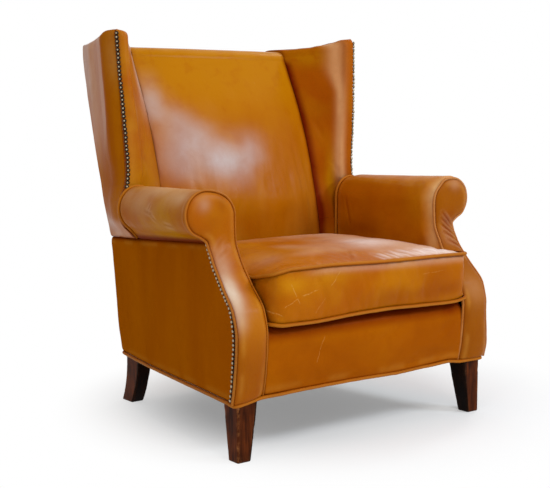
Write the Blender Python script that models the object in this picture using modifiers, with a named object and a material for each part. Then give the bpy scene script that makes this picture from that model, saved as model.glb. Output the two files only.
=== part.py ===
"""A leather wing club chair, built up the way an upholsterer builds it.

The hardwood frame carries serpentine springs, and the springs carry the seat deck, the loose
cushion and the sprung back. Scrolled arms, winged sides and every outside panel are leather over
wadding, finished with leather welts and rows of domed nails. Metres, +Z up, front towards -Y.
"""

import math

import bmesh
import bpy
import numpy as np

# Driving sizes. Heights are above the floor and depths run from front (-Y) to back (+Y).
DEPTH_SHIFT = -0.0201         # sets the middle of the chair's depth on the origin
GAP = 0.0003                  # clearance between pieces that touch
WELT_RADIUS = 0.0045
LEG_HEIGHT = 0.130
PANEL_BOTTOM = 0.1425         # lower edge of every outside panel
RAIL_TOP = 0.2553             # upper edge of the base rails
DECK_TOP = 0.306
BACK_TOP = 0.968              # crown of the back between the wings
EAR_RISE = 0.026              # how far the wings' front tips stand above the back

FACING_INNER = 0.320          # centre line of the facing welt, inner and outer edge
FACING_OUTER = 0.405          # at the foot; the neck under the scroll is a little narrower
FACING_NECK = 0.398
SIDE_FRONT_X = 0.400          # outside arm panel at the front of the chair
FRONT_Y = -0.360              # front of the legs and of the seat box

# Hardwood frame: how far it stays inside the leather, and its timber sizes.
FRONT_PADDING = 0.0125
SIDE_PADDING = 0.0095
REAR_PADDING = 0.0085
JOINT_GAP = 0.0005
RAIL_THICKNESS = 0.028
STUMP_INNER = 0.3535
STUMP_DEPTH = 0.026
STUMP_TOP = 0.494
POST_WIDTH = 0.040
POST_DEPTH = 0.042
FRAME_TOP = 0.929
BLOCK_LEVELS = (0.170, 0.240)
BLOCK_REACH = 0.075
ARM_RAIL_LEVELS = (0.445, 0.4675)
ARM_RAIL_THICKNESS = 0.019
LOWER_BACK_RAIL_LEVELS = (0.330, 0.375)
CREST_RAIL_LEVELS = (0.870, FRAME_TOP)
WING_POST_WIDTH = 0.022
WING_POST_DEPTH = 0.028
WING_RAIL_LEVELS = (0.895, FRAME_TOP)

LEG_FRONT_X = 0.395           # outer face of the front legs
LEG_TOP = 0.056
LEG_FOOT = 0.037
LEG_CHAMFER = 0.004           # small chamfer round the foot
BACK_LEG_X = 0.2765

# Smooth profiles through (height, value).
FACING_PROFILE = [
    (0.13, -0.354), (0.20, -0.368), (0.29, -0.375), (0.345, -0.362), (0.40, -0.315),
    (0.45, -0.275), (0.50, -0.252), (0.54, -0.250), (0.62, -0.250),
]
REAR_PROFILE = [
    (0.13, 0.288), (0.24, 0.303), (0.36, 0.308), (0.47, 0.317), (0.587, 0.350),
    (0.72, 0.383), (0.86, 0.412), (0.95, 0.424), (1.0, 0.424),
]
CREASE_PROFILE = [
    (0.28, 0.138), (0.44, 0.140), (0.51, 0.150), (0.60, 0.171), (0.70, 0.200),
    (0.80, 0.238), (0.897, 0.285), (0.968, 0.320), (1.0, 0.336),
]
CORNER_PROFILE = [(0.13, 0.318), (0.47, 0.333), (0.95, 0.350), (1.0, 0.351)]
WING_EDGE_X = [
    (0.46, 0.362), (0.50, 0.382), (0.55, 0.396), (0.60, 0.386), (0.64, 0.382),
    (0.78, 0.3885), (1.0, 0.398),
]
WING_EDGE_Y = [(0.46, 0.1425), (0.62, 0.1425), (0.78, 0.145), (1.0, 0.158)]
CREASE_X = 0.260              # half width of the inside back

# Scrolled arm, in section at its front and back ends.
SCROLL_FRONT = {
    "x": 0.4025, "z": 0.5615, "radius": 0.0555, "inner": 0.3175, "wall": 0.353,
    "shoulder": 0.548, "waist_x": 0.4030, "waist_z": 0.4978,
}
SCROLL_BACK = {
    "x": 0.357, "z": 0.5545, "radius": 0.052, "inner": 0.3055, "wall": 0.3205,
    "shoulder": 0.540, "waist_x": 0.364, "waist_z": 0.4725,
}
ARM_END_Y = 0.1185            # where the arm meets the wing

CUSHION_HALF_WIDTH = 0.3105
CUSHION_BACK_HALF_WIDTH = 0.298
CUSHION_FRONT_Y = -0.388
CUSHION_BACK_Y = 0.122
CUSHION_WELTS = (0.3185, 0.4300)

NAIL_PITCH = 0.0105
NAIL_RADIUS = 0.0048
NAIL_HEIGHT = 0.0030

SPRING_WIRE = 0.0018
SPRING_SWING = 0.022
SPRING_PERIODS = 6

FINISHES = {                  # colour, metallic, roughness
    "leather": ((0.45, 0.17, 0.02), 0.0, 0.35),
    "leather_welt": ((0.38, 0.13, 0.02), 0.0, 0.40),
    "deck_cloth": ((0.05, 0.04, 0.03), 0.0, 0.90),
    "leg_wood": ((0.05, 0.014, 0.008), 0.0, 0.30),
    "frame_wood": ((0.55, 0.38, 0.22), 0.0, 0.70),
    "spring_steel": ((0.30, 0.30, 0.32), 1.0, 0.40),
    "nail_brass": ((0.20, 0.15, 0.08), 1.0, 0.35),
}


# ---------------------------------------------------------------- modelling helpers

def through(points, at):
    """The value at one place of a smooth curve through (place, value) points, with no overshoot."""
    places = np.array([p[0] for p in points])
    values = np.array([p[1] for p in points])
    steps = np.diff(places)
    slopes = np.diff(values) / steps
    tangents = np.zeros(len(places))
    tangents[0], tangents[-1] = slopes[0], slopes[-1]
    for i in range(1, len(places) - 1):
        if slopes[i - 1] * slopes[i] > 0:
            tangents[i] = 2 * slopes[i - 1] * slopes[i] / (slopes[i - 1] + slopes[i])
    at = min(max(at, places[0]), places[-1])
    i = min(int(np.searchsorted(places, at, side="right")) - 1, len(steps) - 1)
    t = (at - places[i]) / steps[i]
    start = values[i] * (1 + 2 * t) * (1 - t) ** 2 + steps[i] * tangents[i] * t * (1 - t) ** 2
    end = values[i + 1] * t * t * (3 - 2 * t) + steps[i] * tangents[i + 1] * t * t * (t - 1)
    return float(start + end)


def mix(a, b, t):
    return a + (b - a) * t


def ease(t):
    t = min(max(t, 0.0), 1.0)
    return t * t * (3 - 2 * t)


def clear_scene():
    for obj in list(bpy.data.objects):
        bpy.data.objects.remove(obj)


def material(name, finish):
    colour, metallic, roughness = FINISHES[finish]
    made = bpy.data.materials.new(name)
    made.use_nodes = True
    shader = made.node_tree.nodes["Principled BSDF"]
    shader.inputs["Base Color"].default_value = (*colour, 1.0)
    shader.inputs["Metallic"].default_value = metallic
    shader.inputs["Roughness"].default_value = roughness
    made.diffuse_color = (*colour, 1.0)
    return made


def place(name, data, finish):
    """Adds an object to the chair's collection, under the empty that carries the whole chair."""
    obj = bpy.data.objects.new(name, data)
    bpy.data.collections["club_chair"].objects.link(obj)
    obj.parent = bpy.data.objects["chair_datum"]
    data.materials.append(material(name, finish))
    return obj


def loft(name, rings, finish, smooth=True):
    """A closed solid through rings of equally many points, with its first and last ring capped."""
    mesh = bmesh.new()
    rows = [[mesh.verts.new(point) for point in ring] for ring in rings]
    for low, high in zip(rows, rows[1:]):
        for i in range(len(low)):
            j = (i + 1) % len(low)
            mesh.faces.new((low[i], low[j], high[j], high[i]))
    mesh.faces.new(rows[0])
    mesh.faces.new(rows[-1])
    bmesh.ops.recalc_face_normals(mesh, faces=mesh.faces)
    data = bpy.data.meshes.new(name)
    mesh.to_mesh(data)
    mesh.free()
    if smooth:
        data.shade_smooth()
        data.set_sharp_from_angle(angle=math.radians(50))
    return place(name, data, finish)


def box(name, low, high, finish):
    """A plain board between two corners, placed by its middle."""
    low, high = np.minimum(low, high), np.maximum(low, high)
    mesh = bmesh.new()
    bmesh.ops.create_cube(mesh, size=1.0)
    bmesh.ops.scale(mesh, vec=high - low, verts=mesh.verts)
    data = bpy.data.meshes.new(name)
    mesh.to_mesh(data)
    mesh.free()
    obj = place(name, data, finish)
    obj.location = (low + high) / 2
    return obj


def tube(name, points, radius, finish, closed=False, sides=1):
    """A round cord along points."""
    curve = bpy.data.curves.new(name, "CURVE")
    curve.dimensions = "3D"
    curve.bevel_depth = radius
    curve.bevel_resolution = sides
    curve.use_fill_caps = True
    spline = curve.splines.new("POLY")
    spline.points.add(len(points) - 1)
    for place_in_spline, point in zip(spline.points, points):
        place_in_spline.co = (*point, 1.0)
    spline.use_cyclic_u = closed
    return place(name, curve, finish)


def plate(name, outline, low, high, finish):
    """A flat piece cut to a plan outline."""
    curve = bpy.data.curves.new(name, "CURVE")
    curve.dimensions = "2D"
    curve.fill_mode = "BOTH"
    curve.extrude = (high - low) / 2
    spline = curve.splines.new("POLY")
    spline.points.add(len(outline) - 1)
    for place_in_spline, (x, y) in zip(spline.points, outline):
        place_in_spline.co = (x, y, 0.0, 1.0)
    spline.use_cyclic_u = True
    obj = place(name, curve, finish)
    obj.location.z = (low + high) / 2
    return obj


def resampled(points, step):
    """The same path with evenly spaced points, about one step apart."""
    points = np.array(points, float)
    lengths = np.concatenate([[0], np.cumsum(np.linalg.norm(np.diff(points, axis=0), axis=1))])
    count = max(2, round(lengths[-1] / step) + 1)
    marks = np.linspace(0, lengths[-1], count)
    return np.column_stack([np.interp(marks, lengths, points[:, k]) for k in range(3)])


def side_name(stem, side):
    return f"{stem}_{'right' if side > 0 else 'left'}"


# ---------------------------------------------------------------- the chair's surfaces

def bend_levels(low, high):
    """Heights that follow the facing's S-bend alike in every piece that meets it."""
    shared = np.arange(0.155, 0.50, 0.023)
    return [low] + [z for z in shared if low + 0.004 < z < high - 0.004] + [high]


def facing_y(z):
    return through(FACING_PROFILE, z)


def rear_y(z):
    return through(REAR_PROFILE, z)


def crease_y(z):
    return through(CREASE_PROFILE, z)


def side_x(y, z):
    """Outside arm panel: it narrows towards the back and leans out a little as it rises."""
    back_x = through(CORNER_PROFILE, z)
    return mix(SIDE_FRONT_X, back_x, (y - FRONT_Y) / (rear_y(z) - FRONT_Y))


def seam_z(y):
    """The seam between the arm and wing above it and the outside arm panel below it."""
    return 0.4965 - 0.068 * (max(y, -0.25) + 0.25)


def wing_edge(z):
    """The outer front corner of the wing."""
    return through(WING_EDGE_X, z), through(WING_EDGE_Y, z)


def wing_side_x(y, z):
    """Outside of the wing, from its front edge to the back corner."""
    edge_x, edge_y = wing_edge(z)
    return mix(edge_x, through(CORNER_PROFILE, z), (y - edge_y) / (rear_y(z) - edge_y))


def wing_lift(y, z):
    """How far the top of the wing rises towards its front tip."""
    return EAR_RISE * ease((z - 0.89) / 0.08) * ease((0.29 - y) / 0.13)


def scroll_rows(scroll, inset=0.0, turns=9):
    """Rows of (height, inner x, outer x) up the scroll's head, from its waist to its crown."""
    radius = scroll["radius"] - inset
    inner = scroll["inner"] + inset
    crown = scroll["z"] + radius
    waist_x, waist_z = scroll["waist_x"] - inset, scroll["waist_z"] + 0.7 * inset
    curl_x = scroll["x"] + radius * math.cos(math.radians(-50))
    curl_z = scroll["z"] + radius * math.sin(math.radians(-50))
    rows = [(waist_z, inner, waist_x)]
    rows.append((mix(waist_z, curl_z, 0.4), inner, mix(waist_x, curl_x, 0.5)))
    for angle in np.radians(np.linspace(-50, 80, turns)):
        z = scroll["z"] + radius * math.sin(angle)
        rise = max(0.0, (z - scroll["shoulder"]) / (crown - scroll["shoulder"]))
        left = scroll["x"] - (scroll["x"] - inner) * math.sqrt(1 - rise ** 2.4)
        rows.append((z, left, scroll["x"] + radius * math.cos(angle)))
    return rows


# ---------------------------------------------------------------- hardwood frame

def post_inner_x(z):
    """Inner face of the back posts."""
    return through(CORNER_PROFILE, z) - SIDE_PADDING - POST_WIDTH


def frame_base():
    bottom = LEG_HEIGHT + GAP
    front = FRONT_Y + FRONT_PADDING
    back = rear_y(LEG_HEIGHT) - REAR_PADDING - JOINT_GAP
    front_half = STUMP_INNER - JOINT_GAP
    back_half = post_inner_x(LEG_HEIGHT) - 2 * JOINT_GAP
    box("front_rail", (-front_half, front, bottom), (front_half, front + RAIL_THICKNESS, RAIL_TOP),
        "frame_wood")
    box("back_rail", (-back_half, back - RAIL_THICKNESS, bottom), (back_half, back, RAIL_TOP),
        "frame_wood")
    stump_back = facing_y(LEG_HEIGHT) + FRONT_PADDING + STUMP_DEPTH
    post_front = rear_y(LEG_HEIGHT) - REAR_PADDING - POST_DEPTH
    outer, inner = SIDE_PADDING, SIDE_PADDING + RAIL_THICKNESS
    for side in (-1, 1):
        rings = []
        for y in (stump_back + 0.003, post_front - 0.0045):
            rings.append([
                (side * (side_x(y, z) - inset), y, z)
                for z, inset in (
                    (bottom, outer), (bottom, inner), (RAIL_TOP, inner), (RAIL_TOP, outer)
                )
            ])
        loft(side_name("side_rail", side), rings, "frame_wood", smooth=False)


def corner_blocks():
    """Glued and screwed triangular blocks that brace the corners and take the legs."""
    front_y = FRONT_Y + FRONT_PADDING + RAIL_THICKNESS + JOINT_GAP
    front_x = side_x(front_y, BLOCK_LEVELS[0]) - SIDE_PADDING - RAIL_THICKNESS - 2 * JOINT_GAP
    back_y = rear_y(LEG_HEIGHT) - REAR_PADDING - RAIL_THICKNESS - 2 * JOINT_GAP
    back_x = post_inner_x(LEG_HEIGHT) - JOINT_GAP
    front = [(front_x, front_y + 0.004), (front_x - 0.008, front_y + BLOCK_REACH),
             (front_x - BLOCK_REACH, front_y), (front_x - 0.012, front_y)]
    back = [(back_x, back_y), (back_x - BLOCK_REACH, back_y),
            (back_x - 0.006, back_y - BLOCK_REACH)]
    for side in (-1, 1):
        for stem, outline in (("corner_block_front", front), ("corner_block_back", back)):
            plate(side_name(stem, side), [(side * x, y) for x, y in outline], *BLOCK_LEVELS,
                  "frame_wood")


def arm_frame(side):
    """The sawn arm stump behind the facing, and the rail under the scroll."""
    rings = []
    for z in np.linspace(LEG_HEIGHT + GAP, STUMP_TOP, 14):
        front = facing_y(z) + FRONT_PADDING
        back = front + STUMP_DEPTH
        rings.append([
            (side * STUMP_INNER, front, z), (side * (side_x(front, z) - SIDE_PADDING), front, z),
            (side * (side_x(back, z) - SIDE_PADDING), back, z), (side * STUMP_INNER, back, z),
        ])
    loft(side_name("arm_stump", side), rings, "frame_wood", smooth=False)
    rings = []
    low, high = ARM_RAIL_LEVELS
    outer, inner = SIDE_PADDING, SIDE_PADDING + ARM_RAIL_THICKNESS
    for y in (-0.216, 0.260):
        rings.append([
            (side * (side_x(y, high) - inset), y, z)
            for z, inset in ((low, outer), (low, inner), (high, inner), (high, outer))
        ])
    loft(side_name("arm_rail", side), rings, "frame_wood", smooth=False)


def back_frame():
    for side in (-1, 1):
        rings = []
        for z in np.linspace(LEG_HEIGHT + GAP, FRAME_TOP, 12):
            inner, rear = post_inner_x(z), rear_y(z) - REAR_PADDING
            outer, front = inner + POST_WIDTH, rear - POST_DEPTH
            rings.append([
                (side * inner, front, z), (side * outer, front, z),
                (side * outer, rear, z), (side * inner, rear, z),
            ])
        loft(side_name("back_post", side), rings, "frame_wood", smooth=False)
    for name, levels in (
        ("lower_back_rail", LOWER_BACK_RAIL_LEVELS), ("crest_rail", CREST_RAIL_LEVELS)
    ):
        rings = []
        for z in levels:
            half = post_inner_x(z) - JOINT_GAP
            rear = rear_y(z) - 0.015
            front = rear - RAIL_THICKNESS
            rings.append([(-half, front, z), (half, front, z), (half, rear, z), (-half, rear, z)])
        loft(name, rings, "frame_wood", smooth=False)


def wing_post_x(z):
    """Inner face of the wing post, which stands on the arm rail and leans outwards."""
    low = ARM_RAIL_LEVELS[1]
    return mix(0.3155, 0.3530, (z - low) / (FRAME_TOP - low))


def wing_frame(side):
    rings = []
    for z in (ARM_RAIL_LEVELS[1] + JOINT_GAP, 0.700, FRAME_TOP):
        inner, front = wing_post_x(z), wing_edge(z)[1] + 0.030
        outer, rear = inner + WING_POST_WIDTH, front + WING_POST_DEPTH
        rings.append([
            (side * inner, front, z), (side * outer, front, z),
            (side * outer, rear, z), (side * inner, rear, z),
        ])
    loft(side_name("wing_post", side), rings, "frame_wood", smooth=False)
    rings = []
    low, high = WING_RAIL_LEVELS
    start = wing_edge(low)[1] + 0.030 + WING_POST_DEPTH + 5 * JOINT_GAP
    for y in (start, rear_y(low) - 0.054):
        outer = wing_side_x(y, high) - SIDE_PADDING - JOINT_GAP
        inner = outer - WING_POST_WIDTH
        rings.append([
            (side * inner, y, low), (side * outer, y, low),
            (side * outer, y, high), (side * inner, y, high),
        ])
    loft(side_name("wing_top_rail", side), rings, "frame_wood", smooth=False)


# ---------------------------------------------------------------- legs

def front_leg(side):
    """Square and tapered on its inner faces only."""
    chamfer = LEG_CHAMFER
    levels = ((0.0, LEG_FOOT - chamfer, chamfer / 2), (chamfer, LEG_FOOT, 0.0),
              (LEG_HEIGHT, LEG_TOP, 0.0))
    rings = []
    for z, width, inset in levels:
        outer, front = LEG_FRONT_X - inset, FRONT_Y + inset
        rings.append([
            (side * outer, front, z), (side * (outer - width), front, z),
            (side * (outer - width), front + width, z), (side * outer, front + width, z),
        ])
    leg = loft(side_name("leg_front", side), rings, "leg_wood", smooth=False)
    bevel = leg.modifiers.new("eased_edges", "BEVEL")
    bevel.width = 0.0015
    bevel.segments = 1


def back_leg(side):
    """A sabre leg, swept backwards to the foot."""
    rings = []
    for z in np.linspace(0.0, LEG_HEIGHT, 9):
        rise = z / LEG_HEIGHT
        front, back = 0.236 + 0.041 * (1 - rise) ** 1.8, 0.288 + 0.030 * (1 - rise) ** 2.2
        half = mix(0.0185, 0.0205, rise)
        inner, outer = BACK_LEG_X - half, BACK_LEG_X + half
        rings.append([
            (side * inner, front, z), (side * outer, front, z),
            (side * outer, back, z), (side * inner, back, z),
        ])
    loft(side_name("leg_back", side), rings, "leg_wood", smooth=False)


# ---------------------------------------------------------------- springs

def spring_path(start, end, across, bow):
    """A serpentine wire from start to end, swinging along `across` and bowed along `bow`."""
    start, end, across, bow = (np.array(v, float) for v in (start, end, across, bow))
    pitch = (end - start) / SPRING_PERIODS
    points = []
    for turn in np.linspace(0, 2 * math.pi * SPRING_PERIODS, SPRING_PERIODS * 6 + 1):
        along = turn / (2 * math.pi * SPRING_PERIODS)
        point = start + (end - start) * along + pitch * 0.10 * math.sin(2 * turn)
        points.append(point + across * math.sin(turn) + bow * math.sin(math.pi * along))
    return points


def springs():
    for number, x in enumerate(np.linspace(-0.21, 0.21, 5), start=1):
        path = spring_path((x, -0.338, 0.2585), (x, 0.268, 0.2585), (SPRING_SWING, 0, 0),
                           (0, 0, 0.016))
        tube(f"seat_spring_{number}", path, SPRING_WIRE, "spring_steel")
    for number, x in enumerate((-0.14, 0.0, 0.14), start=1):
        low, high = rear_y(0.352) - 0.0500, rear_y(0.90) - 0.0480
        path = spring_path((x, low, 0.340), (x, high, 0.920), (SPRING_SWING, 0, 0), (0, -0.010, 0))
        tube(f"back_spring_{number}", path, SPRING_WIRE, "spring_steel")


# ---------------------------------------------------------------- arms

def arm_pad(side):
    """Inside arm and scroll in one cover: a padded wall that rises and rolls over outwards."""
    stations = (0.0, 0.2, 0.5, 0.8, 1.0)
    front_rows, back_rows = scroll_rows(SCROLL_FRONT), scroll_rows(SCROLL_BACK)
    rows = []
    low, high = DECK_TOP + 0.006, SCROLL_FRONT["waist_z"] - 0.0006
    for level in bend_levels(low, high):
        rise = (level - low) / (high - low)
        rows.append([
            (mix(low, end["waist_z"] - 0.0006, rise), end["inner"], end["wall"])
            for end in (SCROLL_FRONT, SCROLL_BACK)
        ])
    rows += [[front, back] for front, back in zip(front_rows, back_rows)]
    rings = []
    for (front_z, front_in, front_out), (back_z, back_in, back_out) in rows:
        inner, outer = [], []
        for s in stations:
            z = mix(front_z, back_z, s)
            y = mix(facing_y(z) + 2 * WELT_RADIUS + 0.0016, ARM_END_Y, s)
            inner.append((side * mix(front_in, back_in, s), y, z))
            outer.append((side * mix(front_out, back_out, s), y, z))
        rings.append(inner + outer[::-1])
    loft(side_name("arm_pad", side), rings, "leather")


def facing_rows(inset):
    """The facing's keyhole outline as rows of (height, inner x, outer x)."""
    rows = []
    for z in bend_levels(PANEL_BOTTOM, 0.478):
        outer = mix(FACING_OUTER, FACING_NECK, ease((z - 0.34) / 0.10))
        rows.append((z, FACING_INNER + inset, outer - inset))
    for z, left, right in scroll_rows(SCROLL_FRONT, inset + 0.001):
        rows.append((z, max(left, FACING_INNER + inset), right))
    return rows


def arm_facing(side):
    """The padded front of the arm, S-curved in side view and keyhole-shaped from the front."""
    rings = []
    for z, inner, outer in facing_rows(WELT_RADIUS + 0.0004):
        face, crown = facing_y(z), min(0.007, 0.10 * (outer - inner))
        ring = [(side * inner, face + 0.0088, z), (side * inner, face + 0.002, z)]
        for across in (0.12, 0.35, 0.65, 0.88):
            bulge = crown * (1 - (2 * across - 1) ** 2)
            ring.append((side * mix(inner, outer, across), face + 0.001 - bulge, z))
        ring += [(side * outer, face + 0.002, z), (side * outer, face + 0.0088, z)]
        rings.append(ring)
    loft(side_name("arm_facing", side), rings, "leather")


def facing_welt(side):
    rows = facing_rows(0.0)
    outer = [(side * right, facing_y(z) + WELT_RADIUS, z) for z, _, right in rows]
    inner = [(side * left, facing_y(z) + WELT_RADIUS, z) for z, left, _ in rows[::-1]]
    tube(side_name("facing_welt", side), outer + inner, WELT_RADIUS, "leather_welt")


def outside_arm(side):
    """The flat leather panel from the facing to the back corner, below the arm seam."""
    rings = []
    for level in bend_levels(PANEL_BOTTOM, seam_z(-0.25)):
        rise = (level - PANEL_BOTTOM) / (seam_z(-0.25) - PANEL_BOTTOM)
        outer, inner = [], []
        for s in (0.0, 0.3, 0.65, 1.0):
            z = level
            for _ in range(4):
                y = mix(facing_y(z) + 0.0102, rear_y(z) - 0.0078, s)
                z = mix(PANEL_BOTTOM, seam_z(y), rise)
            bulge = 0.003 * math.sin(math.pi * rise) * math.sin(math.pi * s)
            outer.append((side * (side_x(y, z) + bulge), y, z))
            inner.append((side * (side_x(y, z) - 0.008), y, z))
        rings.append(outer + inner[::-1])
    loft(side_name("outside_arm", side), rings, "leather")


def front_border():
    """The padded band across the front rail, under the cushion."""
    section = [
        (-0.3480, PANEL_BOTTOM), (-0.3560, PANEL_BOTTOM), (-0.3630, 0.180), (-0.3670, 0.225),
        (-0.3650, 0.262), (-0.3560, 0.287), (-0.3400, 0.299), (-0.3170, 0.303),
        (-0.3170, 0.262), (-0.3480, 0.262),
    ]
    rings = []
    for across in np.linspace(-1, 1, 7):
        swell = 0.004 * (1 - across * across)
        rings.append([
            (0.3150 * across, y - (swell if y < -0.349 else 0.0), z) for y, z in section
        ])
    loft("front_border", rings, "leather")


# ---------------------------------------------------------------- wings and back

def wing_section(z, kind):
    """Plan of the inside wing at one height: below the arm, round the post, or over the rail."""
    edge_x, edge_y = wing_edge(z)
    crease = crease_y(z)
    inner_x = CREASE_X + 0.0006
    if kind == "strip":
        front = [(0.3030, 0.1480), (0.3030, 0.1400), (0.2960, 0.1345), (0.2850, 0.1340),
                 (0.2740, 0.1355), (inner_x, min(crease, 0.150))]
        rear = [(inner_x, crease + 0.050), (0.2700, crease + 0.050), (0.2800, crease + 0.045),
                (0.2900, 0.180), (0.2980, 0.172), (0.3030, 0.160)]
        return front + rear
    width = mix(0.058, 0.038, ease((z - 0.62) / 0.36))
    roll = [(edge_x - 0.0005, edge_y + 0.0068), (edge_x - 0.004, edge_y - 0.002),
            (edge_x - 0.4 * width, edge_y - 0.009), (edge_x - 0.8 * width, edge_y - 0.005),
            (edge_x - width, edge_y + 0.008), (inner_x, crease)]
    if kind == "post":
        post = wing_post_x(z) - 0.0006
        rear = [(inner_x, crease + 0.040), (mix(inner_x, post, 0.5), mix(crease, edge_y, 0.5) + 0.052),
                (post - 0.004, edge_y + 0.0590), (post, edge_y + 0.0293),
                (wing_side_x(edge_y + 0.0293, z) - 0.0078, edge_y + 0.0293),
                (wing_side_x(edge_y + 0.0070, z) - 0.0080, edge_y + 0.0070)]
        return roll + rear
    back = rear_y(z) - 0.0085
    rear = [(inner_x, back), (mix(inner_x, wing_side_x(back, z) - 0.0078, 0.6), back)]
    for y in (back, mix(back, edge_y, 0.4), mix(back, edge_y, 0.75), edge_y + 0.0070):
        rear.append((wing_side_x(y, z) - 0.0080, y))
    return roll + rear


def inside_wing(side):
    rings = []
    heights = [(z, "strip") for z in (0.300, 0.380, 0.440, 0.4880)]
    heights += [(z, "post") for z in (0.4886, 0.530, 0.575, 0.62, 0.68, 0.76, 0.84, 0.90, 0.9300)]
    heights += [(z, "over") for z in (0.9306, 0.950)]
    for z, kind in heights:
        rings.append([
            (side * x, y, z + wing_lift(y, z)) for x, y in wing_section(z, kind)
        ])
    for z, shrink in ((0.962, 0.10), (0.970, 0.28), (0.974, 0.55)):
        section = wing_section(z, "over")
        middle = np.mean(section, axis=0)
        pulled = [middle + (np.array(point) - middle) * (1 - 0.35 * shrink) for point in section]
        rings.append([(side * x, y, z + wing_lift(y, z)) for x, y in pulled])
    loft(side_name("inside_wing", side), rings, "leather")


def outside_wing(side):
    """The outer panel of the wing, from its nailed front edge round to the back corner."""
    rings = []
    for rise in np.linspace(0.0, 1.0, 13):
        outer, inner = [], []
        for s in (0.0, 0.06, 0.2, 0.45, 0.75, 1.0):
            z = mix(0.476, 0.965, rise)
            for _ in range(4):
                y = mix(wing_edge(z)[1] + 0.0078, rear_y(z) - 0.0082, s)
                z = mix(seam_z(y) + 0.0006, 0.957 + wing_lift(y, 0.97), rise)
            x = wing_side_x(y, z)
            outer.append((side * x, y, z))
            inner.append((side * (x - 0.0055), y, z))
        rings.append(outer + inner[::-1])
    loft(side_name("outside_wing", side), rings, "leather")


def wing_welt(side):
    """The welt that runs up the inside of the wing and over the arm's back end."""
    y = ARM_END_Y + WELT_RADIUS + 0.0004
    rows = scroll_rows(SCROLL_BACK, 0.001)
    points = [(side * SCROLL_BACK["inner"], y, z) for z in np.linspace(0.314, 0.46, 6)]
    points += [(side * left, y, z) for z, left, _ in rows]
    points += [(side * right, y, z) for z, _, right in rows[:0:-1]]
    tube(side_name("wing_welt", side), resampled(points, 0.022), 0.0040, "leather_welt")


def inside_back():
    """The sprung and stuffed back, crowned across, rolling over the crest rail at its top."""
    rings = []
    levels = [(z, False) for z in (0.290, 0.36, 0.44, 0.52, 0.60, 0.68, 0.76, 0.84, 0.90, 0.9300)]
    levels += [(z, True) for z in (0.9306, 0.945, 0.957, 0.964, BACK_TOP)]
    for z, over in levels:
        round_off = 0.022 * max(0.0, (z - 0.935) / (BACK_TOP - 0.935)) ** 2
        crown = 0.024 * ease((z - 0.42) / 0.14) * (1 - 0.75 * ease((z - 0.74) / 0.22))
        rear = rear_y(z) - 0.0085 - round_off if over else crease_y(z) + 0.055
        front = []
        for across in np.linspace(-1, 1, 9):
            bulge = crown * (1 - across ** 4) + 0.006 * (1 - across * across)
            front.append((CREASE_X * across, crease_y(z) - bulge + round_off, z))
        back = [(CREASE_X * across, rear, z) for across in (1, 0.5, 0, -0.5, -1)]
        rings.append(front + back)
    loft("inside_back", rings, "leather")


def outside_back():
    rings = []
    for z in np.linspace(PANEL_BOTTOM, 0.9560, 13):
        half = through(CORNER_PROFILE, z)
        rear, bulge = rear_y(z), 0.004
        outer = [(half * across, rear + bulge * (1 - across * across), z)
                 for across in (-1, -0.6, 0, 0.6, 1)]
        inner = [(half * across, rear - 0.0062, z) for across in (1, 0.6, 0, -0.6, -1)]
        rings.append(outer + inner)
    loft("outside_back", rings, "leather")


# ---------------------------------------------------------------- seat and base

def cushion_outline(inset, count=28):
    """Plan of the cushion: a rounded rectangle that narrows towards the back."""
    points = []
    middle = (CUSHION_FRONT_Y + CUSHION_BACK_Y) / 2
    half_depth = (CUSHION_BACK_Y - CUSHION_FRONT_Y) / 2 - inset
    for angle in np.linspace(0, 2 * math.pi, count, endpoint=False) + math.pi / count:
        c, s = math.cos(angle), math.sin(angle)
        across = math.copysign(abs(c) ** 0.22, c)
        along = math.copysign(abs(s) ** 0.22, s)
        half = mix(CUSHION_HALF_WIDTH, CUSHION_BACK_HALF_WIDTH, (along + 1) / 2) - inset
        points.append((across * half, middle + along * half_depth))
    return points


def seat_cushion():
    low, high = CUSHION_WELTS
    rings = []
    levels = (
        (DECK_TOP + 0.0006, 0.060), (DECK_TOP + 0.003, 0.026), (low, 0.0092), (low + 0.012, 0.0045),
        (mix(low, high, 0.5), 0.0), (high - 0.012, 0.0045), (high, 0.0092), (high + 0.012, 0.030),
        (high + 0.022, 0.085), (high + 0.028, 0.155),
    )
    for z, inset in levels:
        rings.append([(x, y, z) for x, y in cushion_outline(inset)])
    loft("seat_cushion", rings, "leather")
    for name, z in (("cushion_welt_lower", low), ("cushion_welt_upper", high)):
        path = [(x, y, z) for x, y in cushion_outline(0.0043)]
        tube(name, path, WELT_RADIUS, "leather_welt", closed=True)


def seat_deck():
    outline = [
        (-0.3160, -0.3160), (0.3160, -0.3160), (0.3000, 0.1270), (-0.3000, 0.1270),
    ]
    plate("seat_deck", outline, 0.2850, DECK_TOP, "deck_cloth")


def dust_cover():
    """Black cambric tacked under the rails, notched round the legs."""
    front, back = FRONT_Y + 0.014, 0.276
    notch_front, notch_back = 0.327, 0.250
    half = [
        (notch_front, front), (notch_front, -0.296), (0.383, -0.296), (0.316, 0.228),
        (notch_back, 0.228), (notch_back, back),
    ]
    outline = half + [(-x, y) for x, y in half[::-1]]
    plate("dust_cover", outline, LEG_HEIGHT - 0.0012, LEG_HEIGHT, "deck_cloth")


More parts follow.
